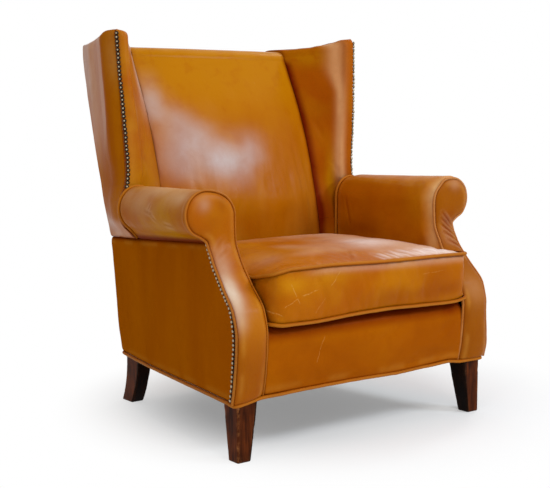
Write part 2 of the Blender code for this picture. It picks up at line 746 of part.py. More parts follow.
def base_welt():
    """The welt round the bottom edge of the whole seat box."""
    z = PANEL_BOTTOM - WELT_RADIUS - 0.0004
    corner_x = through(CORNER_PROFILE, z) + 0.0035
    front_x, front_y = 0.3995, facing_y(z) - 0.0015
    back_y = rear_y(z) - 0.002
    corners = [(front_x, front_y), (corner_x, back_y), (-corner_x, back_y), (-front_x, front_y)]
    path = []
    for i, (x, y) in enumerate(corners):
        before, after = np.array(corners[i - 1]), np.array(corners[(i + 1) % 4])
        corner = np.array((x, y))
        start = corner + (before - corner) / np.linalg.norm(before - corner) * 0.016
        end = corner + (after - corner) / np.linalg.norm(after - corner) * 0.016
        for t in (0.0, 0.33, 0.67, 1.0):
            bend = (1 - t) ** 2 * start + 2 * t * (1 - t) * corner + t * t * end
            path.append((bend[0], bend[1], z))
    tube("base_welt", path, WELT_RADIUS, "leather_welt", closed=True)


# ---------------------------------------------------------------- nails

def nail_strip(name, path, normal):
    """A close row of domed nails, fused edge to edge along its path."""
    normal = np.array(normal, float)
    normal /= np.linalg.norm(normal)
    heads = resampled(path, NAIL_PITCH)
    rings = []
    for index, head in enumerate(heads):
        ahead = heads[min(index + 1, len(heads) - 1)] - heads[max(index - 1, 0)]
        ahead /= np.linalg.norm(ahead)
        across = np.cross(ahead, normal)
        for shift, scale in ((-0.5, 0.45), (0.0, 1.0)):
            middle = head + ahead * NAIL_PITCH * shift
            width, height = NAIL_RADIUS * scale, NAIL_HEIGHT * scale
            rings.append([
                middle - across * width, middle + across * width,
                middle + across * width * 0.55 + normal * height * 0.85,
                middle + normal * height,
                middle - across * width * 0.55 + normal * height * 0.85,
            ])
    loft(name, rings, "nail_brass")


def nails(side):
    path = []
    for z in np.linspace(0.150, 0.488, 12):
        y = facing_y(z) + 0.0235
        path.append((side * (side_x(y, z) + 0.0020), y, z))
    nail_strip(side_name("arm_nails", side), path, (side, 0, 0))
    path = []
    for z in np.linspace(0.614, 0.966, 9):
        x, y = wing_edge(z)
        path.append((side * (x - 0.0060), y - 0.0066, z + wing_lift(y, z)))
    nail_strip(side_name("wing_nails", side), path, (0.35 * side, -1.0, 0))


def main():
    clear_scene()
    bpy.context.scene.collection.children.link(bpy.data.collections.new("club_chair"))
    datum = bpy.data.objects.new("chair_datum", None)
    bpy.data.collections["club_chair"].objects.link(datum)
    datum.location.y = DEPTH_SHIFT
    frame_base()
    corner_blocks()
    back_frame()
    springs()
    seat_deck()
    dust_cover()
    for side in (-1, 1):
        arm_frame(side)
        wing_frame(side)
        front_leg(side)
        back_leg(side)
        arm_pad(side)
        arm_facing(side)
        facing_welt(side)
        outside_arm(side)
        inside_wing(side)
        outside_wing(side)
        wing_welt(side)
        nails(side)
    inside_back()
    outside_back()
    front_border()
    seat_cushion()
    base_welt()


if __name__ == "__main__":
    main()
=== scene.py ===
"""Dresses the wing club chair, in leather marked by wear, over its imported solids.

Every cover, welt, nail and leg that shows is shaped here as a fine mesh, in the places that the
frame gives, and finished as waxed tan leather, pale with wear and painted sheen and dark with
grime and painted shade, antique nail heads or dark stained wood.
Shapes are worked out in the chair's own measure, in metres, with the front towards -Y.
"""

import logging
import math
from collections.abc import Callable, Sequence
from dataclasses import dataclass, field
from enum import Enum
from itertools import product

import bmesh
import bpy
import numpy as np
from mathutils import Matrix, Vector


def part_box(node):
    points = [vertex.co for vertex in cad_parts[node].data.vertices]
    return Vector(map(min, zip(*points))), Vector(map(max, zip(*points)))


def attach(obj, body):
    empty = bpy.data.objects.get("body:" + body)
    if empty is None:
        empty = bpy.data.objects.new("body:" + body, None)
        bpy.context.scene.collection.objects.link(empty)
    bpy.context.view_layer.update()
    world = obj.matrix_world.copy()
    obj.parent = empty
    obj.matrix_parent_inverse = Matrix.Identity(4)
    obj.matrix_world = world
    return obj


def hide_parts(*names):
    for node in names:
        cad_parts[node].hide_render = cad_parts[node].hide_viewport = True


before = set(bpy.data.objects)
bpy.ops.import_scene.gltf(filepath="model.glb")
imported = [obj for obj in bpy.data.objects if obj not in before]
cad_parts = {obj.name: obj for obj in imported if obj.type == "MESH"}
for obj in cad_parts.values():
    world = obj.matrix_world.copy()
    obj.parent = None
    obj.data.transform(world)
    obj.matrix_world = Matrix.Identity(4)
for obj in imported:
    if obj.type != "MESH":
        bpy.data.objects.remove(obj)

LOG = logging.getLogger("club_chair")
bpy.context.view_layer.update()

Colour = tuple[float, float, float]
Knots = tuple[tuple[float, float], ...]
Array = np.ndarray


# ------------------------------------------------------------------------------ plain numbers

def mix(low: Array | float, high: Array | float, share: Array | float) -> Array | float:
    """Goes from low to high as share goes from 0 to 1."""
    return low + (high - low) * share


def ease(share: Array | float) -> Array | float:
    """A soft step: 0 below 0, 1 above 1, and level at both ends."""
    held = np.clip(share, 0.0, 1.0)
    return held * held * (3 - 2 * held)


def bell(away: Array | float, width: float) -> Array:
    """A rounded hump of height 1 that dies out over about twice its width."""
    return np.exp(-(np.asarray(away) / width) ** 2)


def tuck(away: Array | float, width: float, depth: float) -> Array:
    """How far a padded edge rolls under at a distance from its seam.

    Args:
        away: distance from the seam.
        width: how far from the seam the roll starts.
        depth: how deep the leather sits in the seam itself.
    Returns:
        The depth below the full surface, as a quarter round.
    """
    inside = 1 - np.clip(np.asarray(away) / width, 0.0, 1.0)
    return depth * (1 - np.sqrt(1 - inside * inside))


def cloud(points: Array, scale: float | Sequence[float], seed: int, octaves: int = 2) -> Array:
    """Smooth random hills of about -1 to 1, the same on every run.

    Args:
        points: places, with x, y and z along the last axis.
        scale: hills to the metre, one value or one for each axis.
        seed: picks the pattern.
        octaves: how many finer layers are added.
    Returns:
        The hills' height at each point.
    """
    total = np.zeros(points.shape[:-1])
    spin = np.array([[0.36, 0.48, -0.80], [-0.80, 0.60, 0.00], [0.48, 0.64, 0.60]])
    place = points * np.asarray(scale, float)
    for octave in range(octaves):
        cell = np.floor(place).astype(np.int64)
        soft = ease(place - cell)
        layer = np.zeros(points.shape[:-1])
        for corner in product((0, 1), repeat=3):
            spot = cell + np.array(corner)
            code = spot @ np.array([73856093, 19349663, 83492791]) + (seed + octave) * 2654435
            code = (code ^ (code >> 13)) * 1274126177 & 0xFFFFFFFF
            code = (code ^ (code >> 16)) * 668265263 & 0xFFFFFFFF
            weight = np.prod(np.where(np.array(corner) == 1, soft, 1 - soft), axis=-1)
            layer += weight * (code / 0x7FFFFFFF - 1)
        total += layer / 2 ** octave
        place = place @ spin * 2.03
    return total


def evenly(path: Array, count: int) -> Array:
    """The same line with count evenly spaced points.

    Args:
        path: the line's points, one a row.
        count: how many points it gets.
    Returns:
        The new points, one a row.
    """
    steps = np.linalg.norm(np.diff(path, axis=0), axis=1)
    marks = np.concatenate([[0.0], np.cumsum(steps)])
    wanted = np.linspace(0, marks[-1], count)
    return np.column_stack([np.interp(wanted, marks, path[:, k]) for k in range(path.shape[1])])


def spread(points: Sequence[Sequence[float]], counts: Sequence[int]) -> Array:
    """A smooth line through points with a set count of its own points in each stretch.

    Args:
        points: the knots that the line runs through.
        counts: how many of its own points each stretch gets.
    Returns:
        The line's points, one a row.
    """
    knots = np.array(points, float)
    lengths = np.linalg.norm(np.diff(knots, axis=0), axis=1)[:, None]
    slopes = np.diff(knots, axis=0) / lengths
    inner = (slopes[:-1] * lengths[1:] + slopes[1:] * lengths[:-1]) / (lengths[:-1] + lengths[1:])
    tangents = np.vstack([slopes[:1], inner, slopes[-1:]])
    line = []
    for i, count in enumerate(counts):
        t = np.linspace(0, 1, count, endpoint=i == len(counts) - 1)[:, None]
        line.append(knots[i] * (1 + 2 * t) * (1 - t) ** 2 + knots[i + 1] * t * t * (3 - 2 * t)
                    + lengths[i] * (tangents[i] * t * (1 - t) ** 2 - tangents[i + 1] * t * t * (1 - t)))
    return np.vstack(line)


def curve_through(points: Sequence[Sequence[float]], count: int) -> Array:
    """A smooth line through points, with count evenly spaced points of its own."""
    return evenly(spread(points, [25] * (len(points) - 1)), count)


def slope_along(path: Array) -> Array:
    """Unit direction of a line at each of its points."""
    run = np.gradient(path, axis=0)
    return run / np.maximum(np.linalg.norm(run, axis=1, keepdims=True), 1e-9)


def dense_ends(count: int, share: float = 0.5) -> Array:
    """Steps from 0 to 1 that are closer together near both ends."""
    t = np.linspace(0, 1, count)
    return mix(t, 0.5 - 0.5 * np.cos(math.pi * t), share)


@dataclass(frozen=True)
class Profile:
    """A smooth value through (place, value) knots that never overshoots them."""

    knots: Knots

    def __call__(self, at: Array | float) -> Array:
        """Reads the profile, which stays level beyond its end knots.

        Args:
            at: places along it.
        Returns:
            The value at each place.
        """
        places = np.array([knot[0] for knot in self.knots])
        values = np.array([knot[1] for knot in self.knots])
        steps = np.diff(places)
        slopes = np.diff(values) / steps
        turns = slopes[:-1] * slopes[1:]
        inner = np.where(turns > 0, 2 * turns / np.where(turns > 0, slopes[:-1] + slopes[1:], 1), 0)
        tangents = np.concatenate([slopes[:1], inner, slopes[-1:]])
        at = np.clip(np.asarray(at, float), places[0], places[-1])
        i = np.clip(np.searchsorted(places, at, side="right") - 1, 0, len(steps) - 1)
        t = (at - places[i]) / steps[i]
        start = values[i] * (1 + 2 * t) * (1 - t) ** 2 + steps[i] * tangents[i] * t * (1 - t) ** 2
        end = values[i + 1] * t * t * (3 - 2 * t)
        return start + end + steps[i] * tangents[i + 1] * t * t * (t - 1)


# ------------------------------------------------------------------------------ the chair's form

class Side(Enum):
    """The two halves of the chair, by the sign of X."""

    LEFT = -1
    RIGHT = 1

    @property
    def word(self) -> str:
        """The side's name, as node and piece names use it."""
        return self.name.lower()


@dataclass(frozen=True)
class Scroll:
    """The rolled arm in section, at one end of the arm.

    Attributes:
        x: the roll's middle.
        z: the height of its middle.
        radius: the roll's radius.
        inner: x of the inside arm's surface.
        wall: x of the wall behind the inside arm.
        shoulder: height where the inside arm starts to lean over.
        waist_x: x of the seam under the roll.
        waist_z: height of that seam.
        curl: angle at which the roll ends, below the horizontal.
        flatness: how square the shoulder is.
    """

    x: float
    z: float
    radius: float
    inner: float
    wall: float
    shoulder: float
    waist_x: float
    waist_z: float
    curl: float = -50.0
    flatness: float = 2.4

    def outline(self, low: float, inset: float = 0.0, count: int = 150) -> Array:
        """The visible line of the section as (x, z), from the foot of the inside arm to the waist.

        Args:
            low: height where the line starts.
            inset: how far inside the arm's own surface the line runs.
            count: how many points it has.
        Returns:
            The line's points, evenly spaced.
        """
        radius, inner = self.radius - inset, self.inner + inset
        crown = self.z + radius
        rise = np.sin(np.linspace(0, math.pi / 2, 30))
        shoulder_z = self.shoulder + (crown - self.shoulder) * rise
        shoulder_x = self.x - (self.x - inner) * np.sqrt(1 - rise ** self.flatness)
        turn = np.radians(np.linspace(90, self.curl, 40))[1:]
        head = np.column_stack([self.x + radius * np.cos(turn), self.z + radius * np.sin(turn)])
        waist = np.array([self.waist_x - inset, self.waist_z + 0.7 * inset])
        neck = curve_through([head[-3], head[-1], mix(head[-1], waist, 0.55) - [0.002, 0], waist],
                             20)[5:]
        line = np.vstack([
            [[inner, low]], np.column_stack([shoulder_x, shoulder_z]), head, neck,
        ])
        return evenly(line, count)


@dataclass
class ChairForm:
    """The surfaces that every cover shares, in the chair's own measure before its depth shift."""

    front_y: float = -0.360
    side_front_x: float = 0.400
    panel_bottom: float = 0.1425
    welt: float = 0.0045
    back_top: float = 0.968
    crease_x: float = 0.260
    arm_end_y: float = 0.1185
    facing_inner: float = 0.320
    facing_outer: float = 0.405
    facing_neck: float = 0.398
    nail_inset: float = 0.0200
    rear_gap: float = 0.0085
    facing: Profile = Profile((
        (0.13, -0.354), (0.20, -0.368), (0.29, -0.375), (0.345, -0.362), (0.40, -0.315),
        (0.45, -0.275), (0.50, -0.252), (0.54, -0.250), (0.62, -0.250),
    ))
    rear: Profile = Profile((
        (0.13, 0.288), (0.24, 0.303), (0.36, 0.308), (0.47, 0.317), (0.587, 0.350),
        (0.72, 0.383), (0.86, 0.412), (0.95, 0.424), (1.0, 0.424),
    ))
    crease: Profile = Profile((
        (0.28, 0.138), (0.44, 0.140), (0.51, 0.150), (0.60, 0.171), (0.70, 0.200),
        (0.80, 0.238), (0.897, 0.285), (0.968, 0.320), (1.0, 0.336),
    ))
    corner: Profile = Profile(((0.13, 0.318), (0.47, 0.333), (0.95, 0.350), (1.0, 0.351)))
    wing_x: Profile = Profile((
        (0.466, 0.364), (0.486, 0.380), (0.518, 0.399), (0.540, 0.4035), (0.559, 0.404),
        (0.583, 0.3965), (0.607, 0.386), (0.64, 0.382), (0.78, 0.3885), (1.0, 0.398),
    ))
    wing_y: Profile = Profile(((0.46, 0.1425), (0.62, 0.1425), (0.78, 0.145), (1.0, 0.158)))
    ear: Profile = Profile((
        (-0.115, 0.0), (-0.064, 0.0045), (-0.035, 0.0060), (-0.005, 0.0105), (0.020, 0.0125),
        (0.057, 0.0175), (0.080, 0.0235), (0.095, 0.0262), (0.125, 0.0278),
    ))
    front_hem: Profile = Profile((
        (-0.40, -0.007), (-0.37, -0.003), (-0.32, 0.004), (-0.07, 0.007), (0.09, 0.004),
        (0.21, 0.007), (0.28, 0.009), (0.33, 0.004), (0.40, 0.005),
    ))
    left_hem: Profile = Profile(((-0.36, -0.008), (-0.30, -0.005), (0.10, -0.002), (0.29, 0.005)))
    arm_front: Scroll = Scroll(0.4025, 0.5615, 0.0555, 0.3175, 0.353, 0.548, 0.4030, 0.4978)
    arm_back: Scroll = Scroll(0.3605, 0.5505, 0.056, 0.3055, 0.3205, 0.540, 0.364, 0.4725)
    shift: float = field(init=False)

    def __post_init__(self) -> None:
        """Reads where the frame has put the chair's front."""
        self.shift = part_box("leg_front_right")[0].y - self.front_y

    def side_x(self, y: Array, z: Array) -> Array:
        """Outside arm panel: it narrows towards the back and leans out a little as it rises."""
        return mix(self.side_front_x, self.corner(z), (y - self.front_y) / (self.rear(z) - self.front_y))

    def seam_z(self, y: Array) -> Array:
        """The seam between the arm and wing above it and the outside arm panel below it."""
        return 0.4965 - 0.068 * (np.maximum(y, -0.25) + 0.25)

    def hem(self, points: Array) -> Array:
        """Wears the seat box's lower edge, and springs its right foot.

        Args:
            points: places on the chair.
        Returns:
            The same places, moved where they are near that edge.
        """
        x, y, z = (points[..., k] for k in range(3))
        round_side = ease((y + 0.345) / 0.030)
        left = ease((0.10 - x) / 0.10)
        shift = self.front_hem(x) * (1 - round_side) + self.left_hem(y) * round_side * left
        sprung = ease((0.280 - z) / 0.120) * ease((x - 0.310) / 0.070) * ease((0.10 - y) / 0.36)
        return points + np.stack([0.0060 * sprung, -0.0085 * sprung,
                                  shift * (1 - ease((z - 0.135) / 0.080))], axis=-1)

    def wing_side_x(self, y: Array, z: Array) -> Array:
        """Outside of the wing, from its front edge to the back corner."""
        edge_y = self.wing_y(z)
        return mix(self.wing_x(z), self.corner(z), (y - edge_y) / (self.rear(z) - edge_y))

    def wing_lift(self, x: Array, y: Array, z: Array) -> Array:
        """How far the top of the wing rises towards its front tip, for a right-hand wing."""
        return self.ear(x - self.crease_x - 0.9 * (y - 0.16)) * ease((z - 0.89) / 0.08)


# ------------------------------------------------------------------------------ making meshes

Masks = dict[str, Array]


@dataclass(frozen=True)
class Crease:
    """A pinched fold in the leather: a valley along a line with a soft ridge on each side."""

    start: tuple[float, float, float]
    end: tuple[float, float, float]
    depth: float = 0.0015
    width: float = 0.004

    def fold(self, points: Array) -> tuple[Array, Array]:
        """Says how far into the fold each point is.

        Args:
            points: places on the cover.
        Returns:
            How deep in its valley and how high on its ridges they are, from 0 to 1.
        """
        start, end = np.array(self.start), np.array(self.end)
        run = end - start
        share = np.clip((points - start) @ run / (run @ run), 0, 1)
        away = np.linalg.norm(points - (start + share[..., None] * run), axis=-1)
        fade = np.sin(math.pi * np.clip(share, 0.02, 0.98)) ** 0.6
        return fade * bell(away, self.width), fade * bell(away - 1.9 * self.width, self.width)

    def press(self, points: Array) -> Array:
        """How far the crease lifts (or, below zero, sinks) each point."""
        valley, ridge = self.fold(points)
        return self.depth * (0.45 * ridge - valley)


@dataclass(frozen=True)
class Patch:
    """A soft blot on a cover: painted highlight, painted shade or a yellower amber tone, by its mask."""

    mask: str
    centre: tuple[float, float, float]
    size: tuple[float, float, float]
    strength: float

    def blot(self, points: Array) -> Array:
        """How strong it is at each point."""
        away = (((points - np.array(self.centre)) / np.array(self.size)) ** 2).sum(axis=-1)
        return self.strength * np.exp(-away * (1 + 0.35 * cloud(points, 16, 501)))


def outward(grid: Array, closed: bool) -> Array:
    """Unit normals of a grid of points, from its two directions.

    Args:
        grid: rows of points.
        closed: whether each row is a ring.
    Returns:
        One normal for each point, on the side that the grid's turn gives.
    """
    if closed:
        along = np.roll(grid, -1, axis=1) - np.roll(grid, 1, axis=1)
    else:
        along = np.gradient(grid, axis=1)
    normals = np.cross(along, np.gradient(grid, axis=0))
    return normals / np.maximum(np.linalg.norm(normals, axis=-1, keepdims=True), 1e-12)


def grid_faces(rows: int, columns: int, closed: bool, looped: bool) -> Array:
    """Quads of a grid.

    Args:
        rows: how many rows it has.
        columns: how many points a row has.
        closed: whether each row is a ring.
        looped: whether the last row joins the first.
    Returns:
        The four corner numbers of each quad.
    """
    row = np.arange(rows if looped else rows - 1)[:, None]
    column = np.arange(columns if closed else columns - 1)[None, :]
    after_row, after_column = (row + 1) % rows, (column + 1) % columns
    corners = (row * columns + column, row * columns + after_column,
               after_row * columns + after_column, after_row * columns + column)
    return np.stack(corners, axis=-1).reshape(-1, 4)


@dataclass
class Maker:
    """Turns grids of points into the scene's pieces."""

    form: ChairForm
    patches: dict[str, tuple[Patch, ...]]
    made: list[str] = field(default_factory=list)

    def piece(self, name: str, points: Array, faces: list[Array], masks: Masks,
              material: bpy.types.Material, slot: str, nodes: Sequence[str] = ()) -> bpy.types.Object:
        """Adds a mesh piece that rides on the chair and stands for some of its solids.

        Args:
            name: the piece's name.
            points: all its points, in the chair's own measure.
            faces: arrays of corner numbers, one array for each face length.
            masks: one value a point for each named mask that the finish reads.
            material: its finish.
            slot: a name for the finish's slot; only leg wood is left out of the hem.
            nodes: the solids that it replaces.
        Returns:
            The new object.
        """
        data = bpy.data.meshes.new(name)
        corners = [list(map(int, face)) for group in faces for face in group]
        for patch in self.patches.get(name, ()):
            masks[patch.mask] = masks.get(patch.mask, 0.0) + patch.blot(points)
        if slot != "leg_wood":
            points = self.form.hem(points)
        placed = points.reshape(-1, 3) + np.array([0.0, self.form.shift, 0.0])
        data.from_pydata(placed.tolist(), [], corners)
        for key, values in masks.items():
            layer = data.attributes.new(key, "FLOAT", "POINT")
            layer.data.foreach_set("value", np.clip(values, 0, 1).astype(np.float32).ravel())
        mesh = bmesh.new()
        mesh.from_mesh(data)
        bmesh.ops.recalc_face_normals(mesh, faces=mesh.faces)
        mesh.to_mesh(data)
        mesh.free()
        data.shade_smooth()
        data.set_sharp_from_angle(angle=math.radians(58))
        data.materials.append(material)
        obj = bpy.data.objects.new(name, data)
        bpy.context.scene.collection.objects.link(obj)
        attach(obj, "root")
        if nodes:
            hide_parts(*nodes)
        self.made.append(name)
        LOG.info("%s: %d faces", name, len(data.polygons))
        return obj

    def skin(self, name: str, rings: Array, masks: Masks, material: bpy.types.Material,
             nodes: Sequence[str], looped: bool = False, slot: str = "leather") -> bpy.types.Object:
        """A closed cover through rings of points, capped at both ends unless it is a loop.

        A mask may stop where a ring turns out of sight: the rest is painted in full shade, and no other
        mask.

        Args:
            name: the piece's name.
            rings: its rings of points.
            masks: its masks, with a row for each ring.
            material: its finish.
            nodes: the solids that it replaces.
            looped: whether the last ring joins the first.
            slot: a name for the finish's slot, handed on to the piece.
        Returns:
            The new object.
        """
        rows, columns = rings.shape[:2]
        for key, mask in masks.items():
            # hidden columns get full painted shade and no other mask
            unseen = np.full((rows, columns - mask.shape[1]), 1.0 if key == "groove" else 0.0)
            masks[key] = np.hstack([mask, unseen])
        faces = [grid_faces(rows, columns, True, looped)]
        if not looped:
            faces.append(np.array([range(columns)]))
            faces.append(np.array([range((rows - 1) * columns, rows * columns)]))
        return self.piece(name, rings, faces, masks, material, slot, nodes)

    def cord(self, name: str, path: Array, outside: Array, material: bpy.types.Material,
             nodes: Sequence[str], closed: bool = False, radius: float | None = None,
             seed: int = 1, sides: int = 12) -> bpy.types.Object:
        """A leather-covered welt along a path.

        Args:
            name: the piece's name.
            path: the cord's middle line.
            outside: for each point, the way that the cord's pale crown faces.
            material: its finish.
            nodes: the solids that it replaces.
            closed: whether the path is a loop.
            radius: the cord's radius, or the chair's own if left out.
            seed: picks its small unevenness.
            sides: points round the cord.
        Returns:
            The new object.
        """
        radius = radius or self.form.welt
        if closed:
            ahead = np.roll(path, -1, axis=0) - np.roll(path, 1, axis=0)
        else:
            ahead = np.gradient(path, axis=0)
        ahead /= np.linalg.norm(ahead, axis=1, keepdims=True)
        up = outside - (outside * ahead).sum(axis=1, keepdims=True) * ahead
        up /= np.linalg.norm(up, axis=1, keepdims=True)
        across = np.cross(ahead, up)
        uneven = 1 + 0.045 * cloud(path, 60, seed) + 0.03 * cloud(path, 240, seed + 5)
        angles = np.linspace(0, 2 * math.pi, sides, endpoint=False)
        turn = angles[None, :, None]
        ring = np.cos(turn) * up[:, None] + np.sin(turn) * across[:, None]
        rings = path[:, None] + ring * (radius * uneven)[:, None, None]
        facing = np.broadcast_to(np.cos(angles), rings.shape[:2])
        # painted shade on the side turned from the crown; wear and painted highlight on the crown
        masks = {"groove": ease((0.10 - facing) / 0.60), "rub": ease((facing - 0.35) / 0.6)}
        return self.skin(name, rings, masks, material, nodes, looped=closed, slot="leather_welt")


# ------------------------------------------------------------------------------ finishes

class Signal:
    """A value in a material, on which maths is written as plain expressions."""

    def __init__(self, tree: "Tree", socket: bpy.types.NodeSocket) -> None:
        """Wraps one output socket of a tree."""
        self.tree = tree
        self.socket = socket

    def _with(self, operation: str, *values: "Signal | float") -> "Signal":
        """Joins values with one Math node."""
        return self.tree.maths(operation, *values)

    def __add__(self, other: "Signal | float") -> "Signal":
        """self + other."""
        return self._with("ADD", self, other)

    def __radd__(self, other: float) -> "Signal":
        """other + self."""
        return self._with("ADD", other, self)

    def __sub__(self, other: "Signal | float") -> "Signal":
        """self - other."""
        return self._with("SUBTRACT", self, other)

    def __rsub__(self, other: float) -> "Signal":
        """other - self."""
        return self._with("SUBTRACT", other, self)

    def __mul__(self, other: "Signal | float") -> "Signal":
        """self * other."""
        return self._with("MULTIPLY", self, other)

    def __rmul__(self, other: float) -> "Signal":
        """other * self."""
        return self._with("MULTIPLY", other, self)

    def larger(self, other: "Signal | float") -> "Signal":
        """The larger of the two."""
        return self._with("MAXIMUM", self, other)

    def held(self) -> "Signal":
        """The value kept between 0 and 1."""
        return self.tree.output("ShaderNodeClamp", "Result", Value=self)

    def between(self, low: float, high: float) -> "Signal":
        """A soft step.

        Args:
            low: the value at which it is 0.
            high: the value at which it is 1.
        Returns:
            The step.
        """
        return self.tree.output(
            "ShaderNodeMapRange", "Result", {"interpolation_type": "SMOOTHSTEP"},
            Value=self, **{"From Min": low, "From Max": high},
        )


class Tree:
    """A node tree, and the one way that nodes are added to it."""

    def __init__(self, tree: bpy.types.NodeTree) -> None:
        """Wraps a material's or the world's tree."""
        self.nodes = tree.nodes
        self.links = tree.links

    def feed(self, socket: bpy.types.NodeSocket, value: object) -> None:
        """Links a signal into a socket, or sets the socket to a plain value.

        Args:
            socket: the socket to fill.
            value: a signal or a plain value.
        """
        if isinstance(value, Signal):
            self.links.new(value.socket, socket)
        elif socket.type == "RGBA" and len(value) == 3:
            socket.default_value = (*value, 1.0)
        else:
            socket.default_value = value

    def node(self, kind: str, settings: dict | None = None, **values: object) -> bpy.types.Node:
        """Adds any node.

        Args:
            kind: the node's type.
            settings: its own settings, such as an operation.
            values: its sockets by name, or by in0, in1 and so on, each a signal or a value.
        Returns:
            The new node.
        """
        made = self.nodes.new(kind)
        for key, setting in (settings or {}).items():
            setattr(made, key, setting)
        for key, value in values.items():
            numbered = key.startswith("in") and key[2:].isdigit()
            self.feed(made.inputs[int(key[2:]) if numbered else key], value)
        return made

    def output(self, kind: str, out: str | int, settings: dict | None = None,
               **values: object) -> Signal:
        """Adds a node and gives one of its outputs."""
        return Signal(self, self.node(kind, settings, **values).outputs[out])

    def maths(self, operation: str, *values: "Signal | float") -> Signal:
        """Joins values with a Math node."""
        named = {f"in{i}": value for i, value in enumerate(values)}
        return self.output("ShaderNodeMath", 0, {"operation": operation}, **named)

    def vector(self, operation: str, out: str, *values: object) -> Signal:
        """Joins vectors with a Vector Math node."""
        named = {f"in{i}": value for i, value in enumerate(values)}
        return self.output("ShaderNodeVectorMath", out, {"operation": operation}, **named)

    def seen(self) -> Signal:
        """Tells rays that see a surface from rays that light it.

        Returns:
            1 for rays from the camera, a reflection or glass, and 0 for light.
        """
        rays = self.node("ShaderNodeLightPath").outputs
        camera, glossy, glass = (Signal(self, rays[f"Is {kind} Ray"])
                                 for kind in ("Camera", "Glossy", "Transmission"))
        return (camera + glossy + glass).held()


class Recipe(Tree):
    """One material's node tree, with its Principled shader ready."""

    def __init__(self, name: str) -> None:
        """Starts a material with only its shader and output.

        Args:
            name: the material's name.
        """
        self.material = bpy.data.materials.new(name)
        self.material.use_nodes = True
        super().__init__(self.material.node_tree)
        self.shader = self.nodes["Principled BSDF"]
        self.place = Signal(self, self.nodes.new("ShaderNodeTexCoord").outputs["Object"])

    def blend(self, share: "Signal | float", low: object, high: object) -> Signal:
        """Mixes two colours, each a signal or a plain colour."""
        return self.output("ShaderNodeMix", 2, {"data_type": "RGBA"}, in0=share, in6=low, in7=high)

    def mask(self, name: str) -> Signal:
        """A mask that the mesh carries."""
        return self.output("ShaderNodeAttribute", "Fac", {"attribute_name": name})

    def stretched(self, scale: Sequence[float]) -> Signal:
        """The place on the chair, scaled differently along each axis."""
        return self.vector("MULTIPLY", "Vector", self.place, tuple(scale))

    def noise(self, scale: float, detail: float = 2.0, roughness: float = 0.5,
              distortion: float = 0.0, at: Signal | None = None) -> Signal:
        """Cloudy noise.

        Args:
            scale: clouds to the metre.
            detail: how many finer layers it has.
            roughness: how strong those are.
            distortion: how far it is swirled.
            at: where it is read, or the place on the chair if left out.
        Returns:
            About 0 to 1.
        """
        return self.output(
            "ShaderNodeTexNoise", "Fac", Vector=at or self.place, Scale=scale, Detail=detail,
            Roughness=roughness, Distortion=distortion,
        )

    def cells(self, scale: float) -> Signal:
        """Distances in a random cell pattern."""
        return self.output("ShaderNodeTexVoronoi", "Distance", Vector=self.place, Scale=scale)

    def scratch(self, start: Sequence[float], end: Sequence[float], width: float,
                wander: Signal) -> Signal:
        """A line of 1 that fades to 0 over its width, drawn unevenly from start to end.

        Args:
            start: one end, on the chair.
            end: the other end.
            width: half its width.
            wander: a vector that bends the line.
        Returns:
            How strong the line is.
        """
        run = np.array(end) - np.array(start)
        here = self.vector("SUBTRACT", "Vector", wander, tuple(start))
        share = (self.vector("DOT_PRODUCT", "Value", here, tuple(run / (run @ run)))).held()
        along = self.vector("SCALE", "Vector", tuple(run), (0.0, 0.0, 0.0))
        self.feed(along.socket.node.inputs["Scale"], share)
        away = self.vector("DISTANCE", "Value", here, along)
        ends = (share * (1 - share) * 4).between(0.0, 0.45)
        return away.between(width, 0.0) * ends

    def bump(self, height: Signal, strength: float, distance: float,
             below: Signal | None = None) -> Signal:
        """Raises the surface by a height, over any bump below it.

        Args:
            height: the height, from 0 to 1.
            strength: how much of it shows.
            distance: how far a height of 1 stands out, in metres.
            below: the normal of a bump under it.
        Returns:
            The new normal.
        """
        values = {"Height": height, "Strength": strength, "Distance": distance}
        if below is not None:
            values["Normal"] = below
        return self.output("ShaderNodeBump", "Normal", **values)

    def finish(self, **sockets: object) -> bpy.types.Material:
        """Feeds the shader's sockets, named as in the shader with _ for a space.

        Args:
            sockets: a signal or a value for each.
        Returns:
            The material.
        """
        for name, value in sockets.items():
            self.feed(self.shader.inputs[name.replace("_", " ")], value)
        return self.material


@dataclass(frozen=True)
class Scuff:
    """A pale scratch in the wax of a front face, from one (x, z) to another."""

    start: tuple[float, float]
    end: tuple[float, float]
    width: float = 0.0016
    strength: float = 0.5


